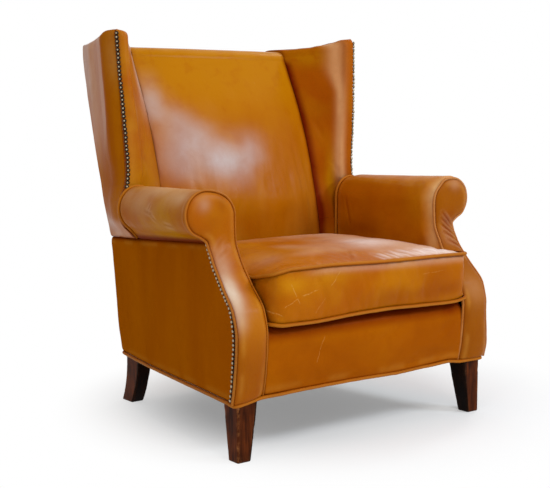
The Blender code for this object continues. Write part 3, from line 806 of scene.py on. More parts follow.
@dataclass(frozen=True)
class WornLeather:
    """Waxed tan hide: cloudy dye, grime and painted shade in the seams, wear and painted sheen on
    crowns.

    Attributes:
        name: the material's name.
        tan: the hide's main colour.
        amber: yellower clouds in it, and the amber mask's colour.
        russet: redder clouds in it.
        groove: dark red grime and painted shade in seams, creases, gaps and hidden parts.
        deep: the colour of painted shade in folds, under rolls and overhangs, and in gaps.
        haze: the colour of painted highlights and reflections, where that mask is.
        rubbed: the pale colour of wear on crowns, and of painted highlights on tops.
        roughness: the surface's roughness.
        gloss: the strength of its reflections.
        streak: how much the clouds are squeezed along each axis.
        patchy: how strong the amber clouds are.
        amber_heights: between which heights the hide turns amber, if it does.
        scratched: the colour of scratches.
        depth: how strong its grain is.
        scuffs: its scratches.
        worn: how far the pale colour covers crowns and tops, for wear and painted highlights.
        coat: how strong a wax coat is where the wax mask is.
    """

    name: str
    tan: Colour = (0.440, 0.125, 0.0010)
    amber: Colour = (0.470, 0.158, 0.0010)
    russet: Colour = (0.375, 0.088, 0.0006)
    groove: Colour = (0.140, 0.0130, 0.0003)
    deep: Colour = (0.200, 0.0240, 0.0004)
    haze: Colour = (0.60, 0.44, 0.37)
    rubbed: Colour = (0.58, 0.25, 0.030)
    roughness: float = 0.34
    gloss: float = 0.19
    streak: tuple[float, float, float] = (1.0, 1.0, 1.0)
    patchy: float = 0.35
    amber_heights: tuple[float, float] | None = None
    scratched: Colour = (0.72, 0.38, 0.10)
    depth: float = 1.0
    scuffs: tuple[Scuff, ...] = ()
    worn: float = 0.62
    coat: float = 0.0

    def make(self) -> bpy.types.Material:
        """Builds the finish.

        Returns:
            The material.
        """
        r = Recipe(self.name)
        groove, rub = r.mask("groove"), r.mask("rub")
        streaked = r.stretched(self.streak)
        clouds = r.noise(5.5, 3.0, 0.55, 0.4, streaked)
        mottle = r.noise(26.0, 4.0, 0.6, 0.3)
        fleck = r.noise(170.0, 2.0, 0.6)
        colour = r.blend(clouds.between(0.26, 0.70), self.russet, self.tan)
        amber = r.noise(8.0, 2.0, 0.5, 0.2, streaked).between(0.46, 0.74) * self.patchy
        if self.amber_heights:
            height = r.vector("DOT_PRODUCT", "Value", r.place, (0.0, 0.0, 1.0))
            amber = amber.larger((height + 0.10 * (clouds - 0.5)).between(*self.amber_heights))
        colour = r.blend(amber, colour, self.amber)
        colour = r.blend((r.mask("amber") * (0.6 + 0.8 * mottle)).held(), colour, self.amber)
        colour = r.blend(mottle.between(0.50, 0.30) * 0.34, colour, self.russet)
        # painted shade where the deep mask is, wear and painted highlights on crowns, then painted sheen
        colour = r.blend((r.mask("deep") * (0.65 + 0.7 * mottle)).held(), colour, self.deep)
        colour = r.blend((rub * (0.55 + 0.5 * fleck) * self.worn).held(), colour, self.rubbed)
        colour = r.blend((r.mask("haze") * (0.7 + 0.6 * mottle)).held(), colour, self.haze)
        if self.scuffs:
            wobble = r.output("ShaderNodeTexNoise", "Color", Vector=r.place, Scale=34.0, Detail=2.0)
            wander = r.vector("ADD", "Vector", r.place, r.vector(
                "MULTIPLY", "Vector", r.vector("SUBTRACT", "Vector", wobble, (0.5, 0.5, 0.5)),
                (0.011, 0.011, 0.011)))
            broken = r.noise(150.0, 2.0, 0.7).between(0.36, 0.56)
            wander = r.vector("MULTIPLY", "Vector", wander, (1.0, 0.0, 1.0))
            marks = None
            for scuff in self.scuffs:
                start, end = (np.array((p[0], 0.0, p[1])) for p in (scuff.start, scuff.end))
                line = r.scratch(start, end, scuff.width, wander) * (broken * scuff.strength)
                marks = marks.larger(line) if marks else line
            colour = r.blend(marks, colour, self.scratched)
        # grime in the seams, and painted shade in creases, gaps and on hidden parts
        colour = r.blend((groove * 0.93).held(), colour, self.groove)
        pores = r.cells(720.0)
        grain = r.noise(310.0, 3.0, 0.6)
        folds = r.noise(42.0, 3.0, 0.55, 0.6)
        skin = r.bump(folds, 0.16 * self.depth, 0.004)
        skin = r.bump(grain, 0.18 * self.depth, 0.0008, skin)
        skin = r.bump(pores, 0.16 * self.depth, 0.0005, skin)
        rough = self.roughness + 0.12 * (mottle - 0.5) + 0.10 * (fleck - 0.5) + 0.16 * groove
        wax = r.mask("wax") * self.coat if self.coat else 0.0
        return r.finish(Base_Color=colour, Roughness=rough, Normal=skin, Metallic=0.0,
                        Specular_IOR_Level=self.gloss, Coat_Weight=wax, Coat_Roughness=0.30)


LEATHERS: dict[str, WornLeather] = {
    # left arm: pale colour at full strength paints highlights on the roll's top, as well as wear
    "arm_left": WornLeather(
        "left_arm_leather", tan=(0.49, 0.200, 0.0012), rubbed=(0.60, 0.34, 0.16),
        haze=(0.62, 0.355, 0.18), gloss=0.015, worn=1.0,
    ),
    "arm_right": WornLeather(
        "right_arm_leather", tan=(0.51, 0.146, 0.0010), amber=(0.45, 0.155, 0.0010),
        rubbed=(0.60, 0.28, 0.08), haze=(0.68, 0.43, 0.20), gloss=0.05,
    ),
    "facing_left": WornLeather(
        "left_facing_leather", tan=(0.42, 0.125, 0.0010), haze=(0.68, 0.53, 0.40),
        roughness=0.30, gloss=0.045,
    ),
    # right facing: a darker, redder copy of the left one's leather, painting its shade
    "facing_right": WornLeather(
        "right_facing_leather", tan=(0.31, 0.083, 0.0010), amber=(0.34, 0.100, 0.0010),
        russet=(0.27, 0.066, 0.0008), haze=(0.56, 0.30, 0.17), gloss=0.04,
    ),
    # outside panels: darker and redder than the front covers, painting the shade on the sides
    "outside": WornLeather(
        "outside_leather", tan=(0.390, 0.100, 0.0006), amber=(0.395, 0.112, 0.0008),
        russet=(0.335, 0.078, 0.0006), gloss=0.0, streak=(1.6, 1.6, 0.35),
    ),
    # wings: lit and shaded copies, the left lighter and yellower, the right darker and redder
    "wing_left": WornLeather(
        "left_wing_leather", tan=(0.44, 0.165, 0.0050), amber=(0.47, 0.180, 0.0012), gloss=0.06,
    ),
    "wing_right": WornLeather(
        "right_wing_leather", tan=(0.37, 0.086, 0.0008), amber=(0.43, 0.155, 0.0008),
        russet=(0.33, 0.068, 0.0006), deep=(0.14, 0.010, 0.0003), haze=(0.61, 0.29, 0.115),
        gloss=0.01, patchy=0.3,
    ),
    "panel": WornLeather(
        "panel_leather", tan=(0.44, 0.130, 0.0010), gloss=0.004, coat=0.55, streak=(1.4, 1.4, 0.4),
    ),
    "back": WornLeather(
        "back_leather", tan=(0.43, 0.128, 0.0012), amber=(0.455, 0.165, 0.0010),
        russet=(0.385, 0.100, 0.0008), haze=(0.53, 0.462, 0.46), roughness=0.24, gloss=0.042,
        amber_heights=(0.66, 0.92), streak=(1.3, 1.0, 0.6),
    ),
    "border": WornLeather(
        "border_leather", tan=(0.36, 0.086, 0.0008), amber=(0.40, 0.110, 0.0008),
        russet=(0.31, 0.068, 0.0006), gloss=0.008, scuffs=(
            Scuff((-0.1473, 0.2704), (-0.1625, 0.2363), 0.0017, 0.27),
            Scuff((-0.1625, 0.2363), (-0.1715, 0.2038), 0.0017, 0.24),
        ),
    ),
    # cushion: pale colour paints highlights on the seat's right and front gathers, besides wear
    "cushion": WornLeather(
        "cushion_leather", amber=(0.52, 0.205, 0.004), rubbed=(0.74, 0.54, 0.42),
        haze=(0.82, 0.68, 0.64), gloss=0.035, worn=0.85, scuffs=(
            Scuff((-0.2826, 0.3500), (-0.2420, 0.3690), 0.0018, 0.45),
            Scuff((-0.2331, 0.3740), (-0.1785, 0.3860), 0.0018, 0.42),
            Scuff((-0.2625, 0.4079), (-0.2380, 0.3520), 0.0017, 0.36),
            Scuff((-0.1100, 0.4240), (-0.1480, 0.3860), 0.0018, 0.36),
            Scuff((-0.3120, 0.3442), (-0.2780, 0.3310), 0.0018, 0.39),
            Scuff((-0.1900, 0.3280), (-0.1580, 0.3640), 0.0015, 0.24),
            Scuff((0.1500, 0.3900), (0.2300, 0.3960), 0.0014, 0.24),
        ),
    ),
    # facing welts: lit and shaded copies, the left dark with a pale front, the right the reverse
    "edge_left": WornLeather(
        "left_edge_welt_leather", tan=(0.21, 0.043, 0.0006), groove=(0.085, 0.0080, 0.0003),
        rubbed=(0.47, 0.19, 0.030), roughness=0.42, gloss=0.06, depth=0.6,
    ),
    "edge_right": WornLeather(
        "right_edge_welt_leather", tan=(0.50, 0.22, 0.075), groove=(0.190, 0.0350, 0.0030),
        rubbed=(0.42, 0.15, 0.025), roughness=0.42, gloss=0.06, depth=0.6,
    ),
    "welt": WornLeather(
        "welt_leather", tan=(0.29, 0.070, 0.0010), groove=(0.060, 0.0065, 0.0003),
        rubbed=(0.47, 0.18, 0.020), roughness=0.46, gloss=0.04, depth=0.6,
    ),
}


@dataclass(frozen=True)
class StainedWood:
    """Mahogany stain over close grain, with wear down to bare wood along its edges, and painted shade.
    """

    name: str
    dark: Colour = (0.018, 0.0035, 0.0010)
    warm: Colour = (0.130, 0.027, 0.0045)
    bare: Colour = (0.26, 0.095, 0.030)
    roughness: float = 0.30
    gloss: float = 0.04
    shade: Colour = (0.0016, 0.0012, 0.0008)

    def make(self) -> bpy.types.Material:
        """Builds the finish.

        Returns:
            The material.
        """
        r = Recipe(self.name)
        along = r.stretched((55, 55, 4.5))
        figure = r.noise(1.0, 5.0, 0.65, 1.2, along)
        fine = r.noise(6.0, 3.0, 0.7, 0.0, along)
        blotch = r.noise(14.0, 2.0, 0.5)
        colour = r.blend(figure.between(0.32, 0.68), self.dark, self.warm)
        colour = r.blend(blotch.between(0.62, 0.40) * 0.5, colour, self.dark)
        wear = (r.mask("rub") * r.noise(90.0, 3.0, 0.7).between(0.40, 0.62)).held()
        colour = r.blend(wear, colour, self.bare)
        # painted shade on leg faces that look in under the chair
        colour = r.blend(r.mask("deep"), colour, self.shade)
        rough = self.roughness + 0.15 * (fine - 0.5) + 0.25 * wear
        skin = r.bump(fine, 0.18, 0.0006)
        skin = r.bump(wear, 0.30, -0.0008, skin)
        return r.finish(Base_Color=colour, Roughness=rough, Normal=skin,
                        Specular_IOR_Level=self.gloss)


@dataclass(frozen=True)
class AntiqueBrass:
    """Nail heads: near-black patina, with bright crowns from wear and painted highlight."""

    name: str
    patina: Colour = (0.012, 0.008, 0.005)
    bright: Colour = (0.38, 0.30, 0.20)

    def make(self) -> bpy.types.Material:
        """Builds the finish.

        Returns:
            The material.
        """
        r = Recipe(self.name)
        rub = (r.mask("rub") * (0.55 + 0.9 * r.noise(260.0, 2.0, 0.6))).held()
        colour = r.blend(rub.between(0.15, 0.75), self.patina, self.bright)
        rough = 0.46 - 0.14 * rub + 0.10 * r.noise(500.0, 2.0, 0.5)
        skin = r.bump(r.noise(420.0, 2.0, 0.5), 0.25, 0.0005)
        return r.finish(Base_Color=colour, Metallic=0.15 + 0.80 * rub, Roughness=rough, Normal=skin,
                        Specular_IOR_Level=0.12)


@dataclass(frozen=True)
class PlainStock:
    """The parts inside: sawn timber, cloth or spring wire, told apart by grain and gloss."""

    name: str
    low: Colour
    high: Colour
    scale: tuple[float, float, float]
    roughness: float
    metallic: float = 0.0

    def make(self) -> bpy.types.Material:
        """Builds the finish.

        Returns:
            The material.
        """
        r = Recipe(self.name)
        grain = r.noise(1.0, 4.0, 0.6, 0.5, r.stretched(self.scale))
        colour = r.blend(grain.between(0.3, 0.7), self.low, self.high)
        return r.finish(Base_Color=colour, Metallic=self.metallic,
                        Roughness=self.roughness + 0.15 * (grain - 0.5),
                        Normal=r.bump(grain, 0.3, 0.0006))


STOCKS = (
    PlainStock("sawn_timber", (0.36, 0.22, 0.11), (0.60, 0.42, 0.25), (40, 40, 6), 0.7),
    PlainStock("black_cambric", (0.010, 0.009, 0.008), (0.022, 0.020, 0.018), (400, 400, 400), 0.9),
    PlainStock("spring_wire", (0.20, 0.20, 0.21), (0.34, 0.34, 0.36), (90, 90, 90), 0.4, 0.9),
)


# ------------------------------------------------------------------------------ shared shaping

def seam_mask(away: Array, reach: float = 0.0040) -> Array:
    """1 in a seam, fading to 0 at a reach from it."""
    return ease(1 - np.asarray(away) / reach)


def nearest(line: Array, points: Array) -> tuple[Array, Array]:
    """Measures points from a densely sampled line.

    Args:
        line: the line's points.
        points: the points to measure.
    Returns:
        Each point's distance from the line, and the number of the line's nearest point.
    """
    flat = points.reshape(-1, points.shape[-1])
    away, index = np.empty(len(flat)), np.empty(len(flat), int)
    for start in range(0, len(flat), 4000):
        part = ((flat[start:start + 4000, None, :] - line[None]) ** 2).sum(axis=-1)
        index[start:start + 4000] = part.argmin(axis=1)
        away[start:start + 4000] = np.sqrt(part.min(axis=1))
    return away.reshape(points.shape[:-1]), index.reshape(points.shape[:-1])


def mirrored(rings: Array, side: Side) -> Array:
    """The right-hand shape on the wanted side of the chair."""
    return rings * np.array([side.value, 1.0, 1.0])


def pressed(points: Array, normals: Array, creases: Sequence[Crease]) -> Array:
    """Presses every crease into a cover.

    Args:
        points: the cover's points.
        normals: their normals.
        creases: the creases.
    Returns:
        The points, moved along their normals.
    """
    for crease in creases:
        points = points + normals * crease.press(points)[..., None]
    return points


def folded(points: Array, creases: Sequence[Crease]) -> tuple[Array, Array]:
    """The valleys and the ridges of all the creases, as two masks."""
    parts = [crease.fold(points) for crease in creases]
    return np.max([part[0] for part in parts], axis=0), np.max([part[1] for part in parts], axis=0)


@dataclass
class SidePanel:
    """An outside panel of the arm or wing, before it is taken round the back corner.

    Attributes:
        points: its face, as rows of points from the front edge to the back corner.
        levels: the face's heights before any padding.
        front: y of the front edge at each height, as one column.
        rear: y where the back corner starts, as one column.
        radius: the corner's radius.
        side_x: x of the chair's side at a y and a height.
    """

    points: Array
    levels: Array
    front: Array
    rear: Array
    radius: float
    side_x: Callable[[Array, Array], Array]

    def rings(self, folded_in: float, thickness: float, picks: Sequence[int]) -> Array:
        """The panel as closed rings: the face, the corner, a fold behind it and an inner wall.

        Args:
            folded_in: how far forward the leather is folded in behind the corner.
            thickness: how far inside the chair's side the inner wall stands.
            picks: for each of the wall's four columns, the face's column that gives its heights.
        Returns:
            One ring for each height.
        """
        turn = np.radians(np.linspace(0, 90, 13))[1:]
        x = self.points[:, -1:, 0] - self.radius * (1 - np.cos(turn))
        y = self.points[:, -1:, 1] + self.radius * np.sin(turn)
        corner = np.stack([x, y, np.broadcast_to(self.levels[:, -1:], x.shape)], axis=-1)
        behind = np.stack([corner[:, -1] + [-0.004, -0.0005, 0], corner[:, -1] + [-0.007, -0.004, 0],
                           corner[:, -1] + [-0.006, -folded_in, 0]], axis=1)
        wall_y = np.stack([mix(self.rear[:, 0] - 0.004, self.front[:, 0] + 0.002, share)
                           for share in (0.0, 0.35, 0.7, 1.0)], axis=1)
        wall_z = self.levels[:, picks]
        wall = np.stack([self.side_x(wall_y, wall_z) - thickness, wall_y, wall_z], axis=-1)
        return np.concatenate([self.points, corner, behind, wall], axis=1)

    @staticmethod
    def unseen(rows: int, worn: float, sunk: float) -> tuple[Array, Array]:
        """Masks for all but the face.

        Args:
            rows: how many rings there are.
            worn: how pale the rounded corner is.
            sunk: how dark the painted shade behind the corner is.
        Returns:
            The rub and the groove mask.
        """
        rub, groove = np.zeros((rows, 19)), np.zeros((rows, 19))
        rub[:, :9] = worn
        groove[:, 12:] = sunk
        return rub, groove


@dataclass(frozen=True)
class Puckers:
    """Short gathers that run away from a seam."""

    height: float = 0.0008
    reach: float = 0.016
    per_metre: float = 75.0
    slant: float = 0.5

    def lift(self, along: Array, away: Array, seed: int, spread_over: Array | float = 1.0) -> Array:
        """How far the gathers lift the surface.

        Args:
            along: distance along the seam.
            away: distance from the seam.
            seed: picks the pattern.
            spread_over: how strong they are at each place.
        Returns:
            The lift, in metres.
        """
        at = np.stack([(along + self.slant * away) * self.per_metre, away * 12,
                       np.zeros_like(away)], axis=-1)
        wave = cloud(at, 1.0, seed)
        rise = ease(away / 0.004) * np.exp(-away / self.reach)
        return self.height * (wave - 0.15) * rise * spread_over


@dataclass
class Upholstery:
    """What every upholstered sub-assembly works with, and how it adds a padded cover."""

    form: ChairForm
    maker: Maker
    leather: Callable[[str, Side], bpy.types.Material]
    welt: bpy.types.Material

    def upholster(self, name: str, rings: Array, masks: Masks, kind: str, side: Side, node: str,
                  fill: float) -> None:
        """Adds a padded cover.

        Args:
            name: the piece's name.
            rings: its rings of points, as on the right of the chair.
            masks: its masks.
            kind: which leather it takes.
            side: which side of the chair it is on.
            node: the solid that it replaces.
            fill: how tight its stuffing is, from 0 to 1; not used.
        """
        piece = self.maker.skin(name, mirrored(rings, side), masks, self.leather(kind, side), [node])


# ------------------------------------------------------------------------------ arms

@dataclass
class Arms(Upholstery):
    """Both scrolled arms: inside covers, facings with their welts, and outside panels."""

    facing_pad: float = 0.0100
    facing_roll: float = 0.030
    corner_radius: float = 0.017
    cover_start: float = 0.0072
    narrowing: float = 0.014

    def build(self) -> None:
        """Makes the pieces of both arms."""
        for side in Side:
            self.cover(side)
            self.facing(side)
            self.facing_cord(side)
            self.outside(side)

    def cover(self, side: Side) -> None:
        """The inside arm and its scroll, one hide drawn over the roll and under it.

        Args:
            side: which side of the chair it is on.
        """
        f, name = self.form, f"arm_pad_{side.word}"
        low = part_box(name)[0].z
        shown, rows = 150, dense_ends(118, 0.5)
        front, back = (scroll.outline(low, 0.0, shown) for scroll in (f.arm_front, f.arm_back))
        share = rows[:, None]
        x, z = (mix(front[:, k], back[:, k], share) for k in (0, 1))
        y = mix(f.facing(z) + self.cover_start, f.arm_end_y, share)
        tangent = np.stack([np.gradient(x, axis=1), np.gradient(z, axis=1)], axis=-1)
        tangent /= np.linalg.norm(tangent, axis=-1, keepdims=True)
        length = f.arm_end_y - f.facing(z)
        from_front, from_back = share * length, (1 - share) * length
        run = np.cumsum(np.hypot(np.gradient(x, axis=1), np.gradient(z, axis=1)), axis=1)
        from_waist = run[:, -1:] - run

        # the right arm's end is drawn in, and both ends roll under their cords
        front_sink = 0.0008 if side is Side.RIGHT else 0.0022
        sink = tuck(from_front, 0.010, front_sink) + tuck(from_back, 0.012, 0.0030)
        if side is Side.RIGHT:
            gather = (1 - ease(from_front / 0.040)) ** 1.4 * ease((z - 0.38) / 0.08)
            x = x + self.narrowing * gather * ease((0.385 - x) / 0.05)
        points = np.stack([x, y, z], axis=-1)

        # uneven stuffing, gathers at both ends, and the right arm's fuller top
        seed = 11 + side.value
        lift = 0.0013 * cloud(points, 7, seed) + 0.0005 * cloud(points, 30, seed + 1)
        gathers = Puckers(0.0011, 0.020, 60.0, 0.3)
        lift = lift + gathers.lift(run, from_front, seed + 2) + gathers.lift(run, from_back, seed + 3)
        ends = ease(from_front / 0.01) * ease(from_back / 0.01)
        top = ease((z - 0.575) / 0.03) * ease(from_back / 0.05) * (side is Side.RIGHT)
        lift = lift + 0.0050 * top
        normal = np.stack([-tangent[..., 1], np.zeros_like(x), tangent[..., 0]], axis=-1)
        points = points + normal * (lift * ends - sink)[..., None]
        creases = self.cover_creases(side)
        valley, ridge = folded(points, creases)
        points = pressed(points, normal, creases)
        wall = mix(f.arm_front.wall, f.arm_back.wall, rows)
        waist_z = mix(f.arm_front.waist_z, f.arm_back.waist_z, rows)

        # the ring closes behind the leather, down the wall to the deck
        tail = np.empty((len(rows), 3, 3))
        tail[..., 0] = wall[:, None]
        tail[..., 2] = np.column_stack([waist_z - 0.012, waist_z - 0.090, np.full(len(rows), low)])
        tail[..., 1] = mix(f.facing(tail[..., 2]) + self.cover_start, f.arm_end_y, rows[:, None])
        rings = np.concatenate([points, tail], axis=1)
        # painted shade under the roll and in creases, wear and painted highlight along its top
        groove = 0.10 * seam_mask(np.minimum(from_front, from_back), 0.0030)
        groove = groove + seam_mask(from_waist, 0.022)
        rub = bell((z - f.arm_front.z - 0.045) / 0.035, 1.0) * ends * (x > 0.33)
        rub = rub * ease(0.5 + cloud(points, 22, seed + 7)) * 0.35
        rub = rub + 0.2 * bell(from_front - 0.011, 0.004) + 0.15 * bell(from_back - 0.011, 0.004)
        # painted highlight on the left arm's crease ridges
        masks = {"groove": groove, "rub": rub, "haze": 0.32 * ridge * (side is Side.LEFT),
                 "deep": 0.6 * ease(1 - from_waist / 0.022) + 0.35 * valley}
        self.upholster(f"{side.word}_arm_cover", rings, masks, "arm", side, name, 0.8)

    def cover_creases(self, side: Side) -> list[Crease]:
        """Creases that sitting and leaning have pressed into the arm.

        Args:
            side: which side of the chair it is on.
        Returns:
            The creases, as on a right-hand arm.
        """
        if side is Side.LEFT:
            return [
                Crease((0.4330, -0.026, 0.557), (0.4385, -0.078, 0.549), 0.0010, 0.0032),
                Crease((0.4345, -0.045, 0.553), (0.4330, -0.058, 0.577), 0.0009, 0.0030),
                Crease((0.4365, -0.060, 0.550), (0.4356, -0.088, 0.533), 0.0009, 0.0032),
                Crease((0.4370, -0.120, 0.530), (0.4413, -0.170, 0.527), 0.0007, 0.0036),
            ]
        return [
            Crease((0.322, -0.215, 0.500), (0.330, -0.190, 0.585), 0.0010, 0.0060),
            Crease((0.306, 0.060, 0.470), (0.306, 0.085, 0.560), 0.0008, 0.0050),
        ]

    def facing_line(self, inset: float, count: int, side: Side) -> Array:
        """The facing's keyhole outline, from the inner foot round to the outer foot.

        Args:
            inset: how far inside the facing's edge it runs.
            count: how many points it has.
            side: which side of the chair it is on.
        Returns:
            Its points, as (x, z).
        """
        f = self.form
        head = Scroll(f.arm_front.x, f.arm_front.z, f.arm_front.radius, f.facing_inner - 0.001,
                      0.0, f.arm_front.shoulder, f.arm_front.waist_x, f.arm_front.waist_z)
        upper = head.outline(f.panel_bottom, inset + 0.001, 320)
        z = np.linspace(0.472, f.panel_bottom, 60)
        outer = mix(f.facing_outer, f.facing_neck, ease((z - 0.34) / 0.10)) - inset
        neck = curve_through([upper[-6], upper[-1], [outer[0] + 0.0006, z[0] + 0.008],
                              [outer[0], z[0]], [outer[4], z[4]]], 24)
        line = evenly(np.vstack([upper[:-6], neck, np.column_stack([outer, z])[5:]]), count)
        if side is Side.RIGHT:
            high, inner = ease((line[:, 1] - 0.38) / 0.08), ease((0.385 - line[:, 0]) / 0.05)
            line[:, 0] += self.narrowing * high * inner
        return line

    def facing(self, side: Side) -> None:
        """The padded front of the arm, S-curved in side view and keyhole-shaped from the front.

        Args:
            side: which side of the chair it is on.
        """
        f, name = self.form, f"arm_facing_{side.word}"
        line = self.facing_line(0.0032, 900, side)
        crown = int(np.argmax(line[:, 1]))
        top = line[crown, 1]
        bend = 0.552
        # rows are close together towards the top, where the outline turns level
        turn = np.linspace(0, math.radians(88.6), 40)
        heights = np.concatenate([np.linspace(f.panel_bottom, bend, 150)[:-1],
                                  bend + (top - bend) * np.sin(turn)])
        left = np.interp(heights, line[:crown + 1, 1], line[:crown + 1, 0])
        right = np.interp(heights, line[crown:, 1][::-1], line[crown:, 0][::-1])
        across = dense_ends(44, 0.45)
        x = mix(left[:, None], right[:, None], across[None])
        z = np.broadcast_to(heights[:, None], x.shape)

        # a thin pad, rounded over all the way round
        away, _ = nearest(line, np.stack([x, z], axis=-1))
        from_foot = z - f.panel_bottom
        edge = 1 - np.clip(away / self.facing_roll, 0, 1)
        pad = self.facing_pad * np.sqrt(1 - edge * edge)
        pad = pad - tuck(from_foot, 0.010, 0.004)
        seed = 31 + side.value
        flat = np.stack([x, f.facing(z), z], axis=-1)
        inside = ease(away / 0.012)
        pad = pad + inside * (0.0009 * cloud(flat, 12, seed) + 0.0004 * cloud(flat, 45, seed + 1))
        points = np.stack([x, f.facing(z) + 0.0032 - pad, z], axis=-1)
        normals = np.broadcast_to(np.array([0.0, -1.0, 0.0]), points.shape)
        creases = self.facing_creases(side)
        valley, ridge = folded(points, creases)
        points = pressed(points, normals, creases)
        tail = np.empty((len(heights), 2, 3))
        for k, edge_x in enumerate((right, left)):
            tail[:, k] = np.column_stack([edge_x, f.facing(heights) + 0.0088, heights])
        rings = np.concatenate([points, tail], axis=1)
        # dark at the welt, wear near the edge, a painted highlight across the bend
        groove = 0.2 * seam_mask(away, 0.0030)
        rub = 0.55 * bell(away - 0.010, 0.006) * ease(0.45 + cloud(flat, 26, seed + 3))
        rub = rub + 0.35 * bell(z - 0.33, 0.05) * inside
        pleated = 1.0 if side is Side.RIGHT else 0.2
        # painted shade in the pleats and painted highlight on their ridges
        masks = {"groove": groove, "rub": rub, "deep": pleated * 0.75 * valley,
                 "haze": pleated * 0.25 * ridge}
        self.upholster(f"{side.word}_arm_facing", rings, masks, "facing", side, name, 0.8)

    def facing_creases(self, side: Side) -> list[Crease]:
        """Pleats where the hide is drawn round the neck of the keyhole.

        Args:
            side: which side of the chair it is on.
        Returns:
            The pleats, as on a right-hand arm.
        """
        if side is Side.LEFT:
            return [
                Crease((0.394, -0.270, 0.474), (0.360, -0.255, 0.505), 0.0007, 0.0036),
                Crease((0.396, -0.280, 0.458), (0.352, -0.262, 0.482), 0.0005, 0.0038),
            ]
        ends = ((0.392, 0.486, 0.356, 0.527), (0.394, 0.474, 0.352, 0.512),
                (0.395, 0.461, 0.350, 0.495), (0.396, 0.447, 0.352, 0.476),
                (0.397, 0.432, 0.356, 0.455))
        return [
            Crease((x0, float(self.form.facing(z0)) - 0.003, z0),
                   (x1, float(self.form.facing(z1)) - 0.006, z1), 0.0030, 0.0034)
            for x0, z0, x1, z1 in ends
        ]

    def facing_cord(self, side: Side) -> None:
        """The welt round the facing.

        Args:
            side: which side of the chair it is on.
        """
        f = self.form
        line = self.facing_line(0.0, 480, side)
        path = np.stack([line[:, 0], f.facing(line[:, 1]) + f.welt, line[:, 1]], axis=-1)
        tangent = slope_along(line)
        outside = np.stack([-tangent[:, 1], np.full(len(line), -0.9), tangent[:, 0]], axis=-1)
        wave = 0.0005 * cloud(path, 40, 51 + side.value)
        path = path + np.stack([-tangent[:, 1] * wave, 0 * wave, tangent[:, 0] * wave], axis=-1)
        self.maker.cord(f"{side.word}_facing_welt", mirrored(path, side), mirrored(outside, side),
                        self.leather("edge", side), [f"facing_welt_{side.word}"], radius=0.0034,
                        seed=52 + side.value)

    def outside(self, side: Side) -> None:
        """The outside arm panel, from the facing round to the back corner, below the arm seam.

        Args:
            side: which side of the chair it is on.
        """
        f, name = self.form, f"outside_arm_{side.word}"
        rows, columns = 96, 150
        rise = dense_ends(rows, 0.5)[:, None]
        share = dense_ends(columns, 0.35)[None]
        z = mix(f.panel_bottom, f.seam_z(-0.25), np.broadcast_to(rise, (rows, columns)))
        for _ in range(5):  # the seam's height and the edges depend on each other, and soon settle
            front, rear = f.facing(z) + 0.0102, f.rear(z) - self.corner_radius
            y = mix(front, rear, share)
            z = mix(f.panel_bottom, f.seam_z(y), rise)
        x = f.side_x(y, z)
        points = np.stack([x, y, z], axis=-1)
        from_top, from_foot, from_front = f.seam_z(y) - z, z - f.panel_bottom, y - front
        from_nails = y - (f.facing(z) + f.nail_inset)

        # bands from stretching, gathers along the seam and the nails, and a little plumpness
        seed = 71 + side.value
        bands = 0.0020 * cloud(points, (1, 11, 2.2), seed) + 0.0006 * cloud(points, 28, seed + 1)
        quiet = ease(from_front / 0.03) * ease(from_top / 0.02) * ease(from_foot / 0.02)
        plump = 0.0035 * np.sin(math.pi * rise) * np.sin(math.pi * share)
        lift = bands * quiet + plump + 0.0012 * ease((from_nails + 0.001) / 0.003)
        lift = lift - 0.0008 * bell(from_nails, 0.004)
        lift = lift + Puckers(0.0014, 0.018, 48.0, 0.2).lift(y, from_top, seed + 2)
        lift = lift + Puckers(0.0009, 0.014, 95.0, 0.1).lift(z, np.abs(from_nails), seed + 3, 0.8)
        sink = tuck(from_top, 0.014, 0.0080) + tuck(from_foot, 0.012, 0.0060)
        sink = sink + tuck(from_front, 0.005, 0.0030)
        points[..., 0] += lift - sink
        panel = SidePanel(points, z, front, rear, self.corner_radius, f.side_x)
        rings = panel.rings(0.012, 0.0085, (-1, 90, 45, 0))
        # grime and painted shade at the seams and nails, painted shade under the roll, wear at edges
        away = np.minimum(np.minimum(from_top * 0.55, from_foot), from_front * 1.3)
        groove = 0.8 * seam_mask(away, 0.0055) + 0.45 * bell(from_nails, 0.0048)
        rub = 0.45 * bell(from_top - 0.013, 0.006) + 0.35 * bell(from_foot - 0.012, 0.007)
        rub = rub * ease(0.6 + cloud(points, 20, seed + 4))
        more_wear_and_sheen, more_grime_and_shade = panel.unseen(rows, 0.45, 1.0)
        masks = {"groove": np.hstack([groove, more_grime_and_shade]), "rub": np.hstack([rub, more_wear_and_sheen]),
                 "deep": 0.6 * ease(1 - from_top / 0.016)}
        self.upholster(f"{side.word}_outside_arm", rings, masks, "outside", side, name, 0.7)


# ------------------------------------------------------------------------------ wings

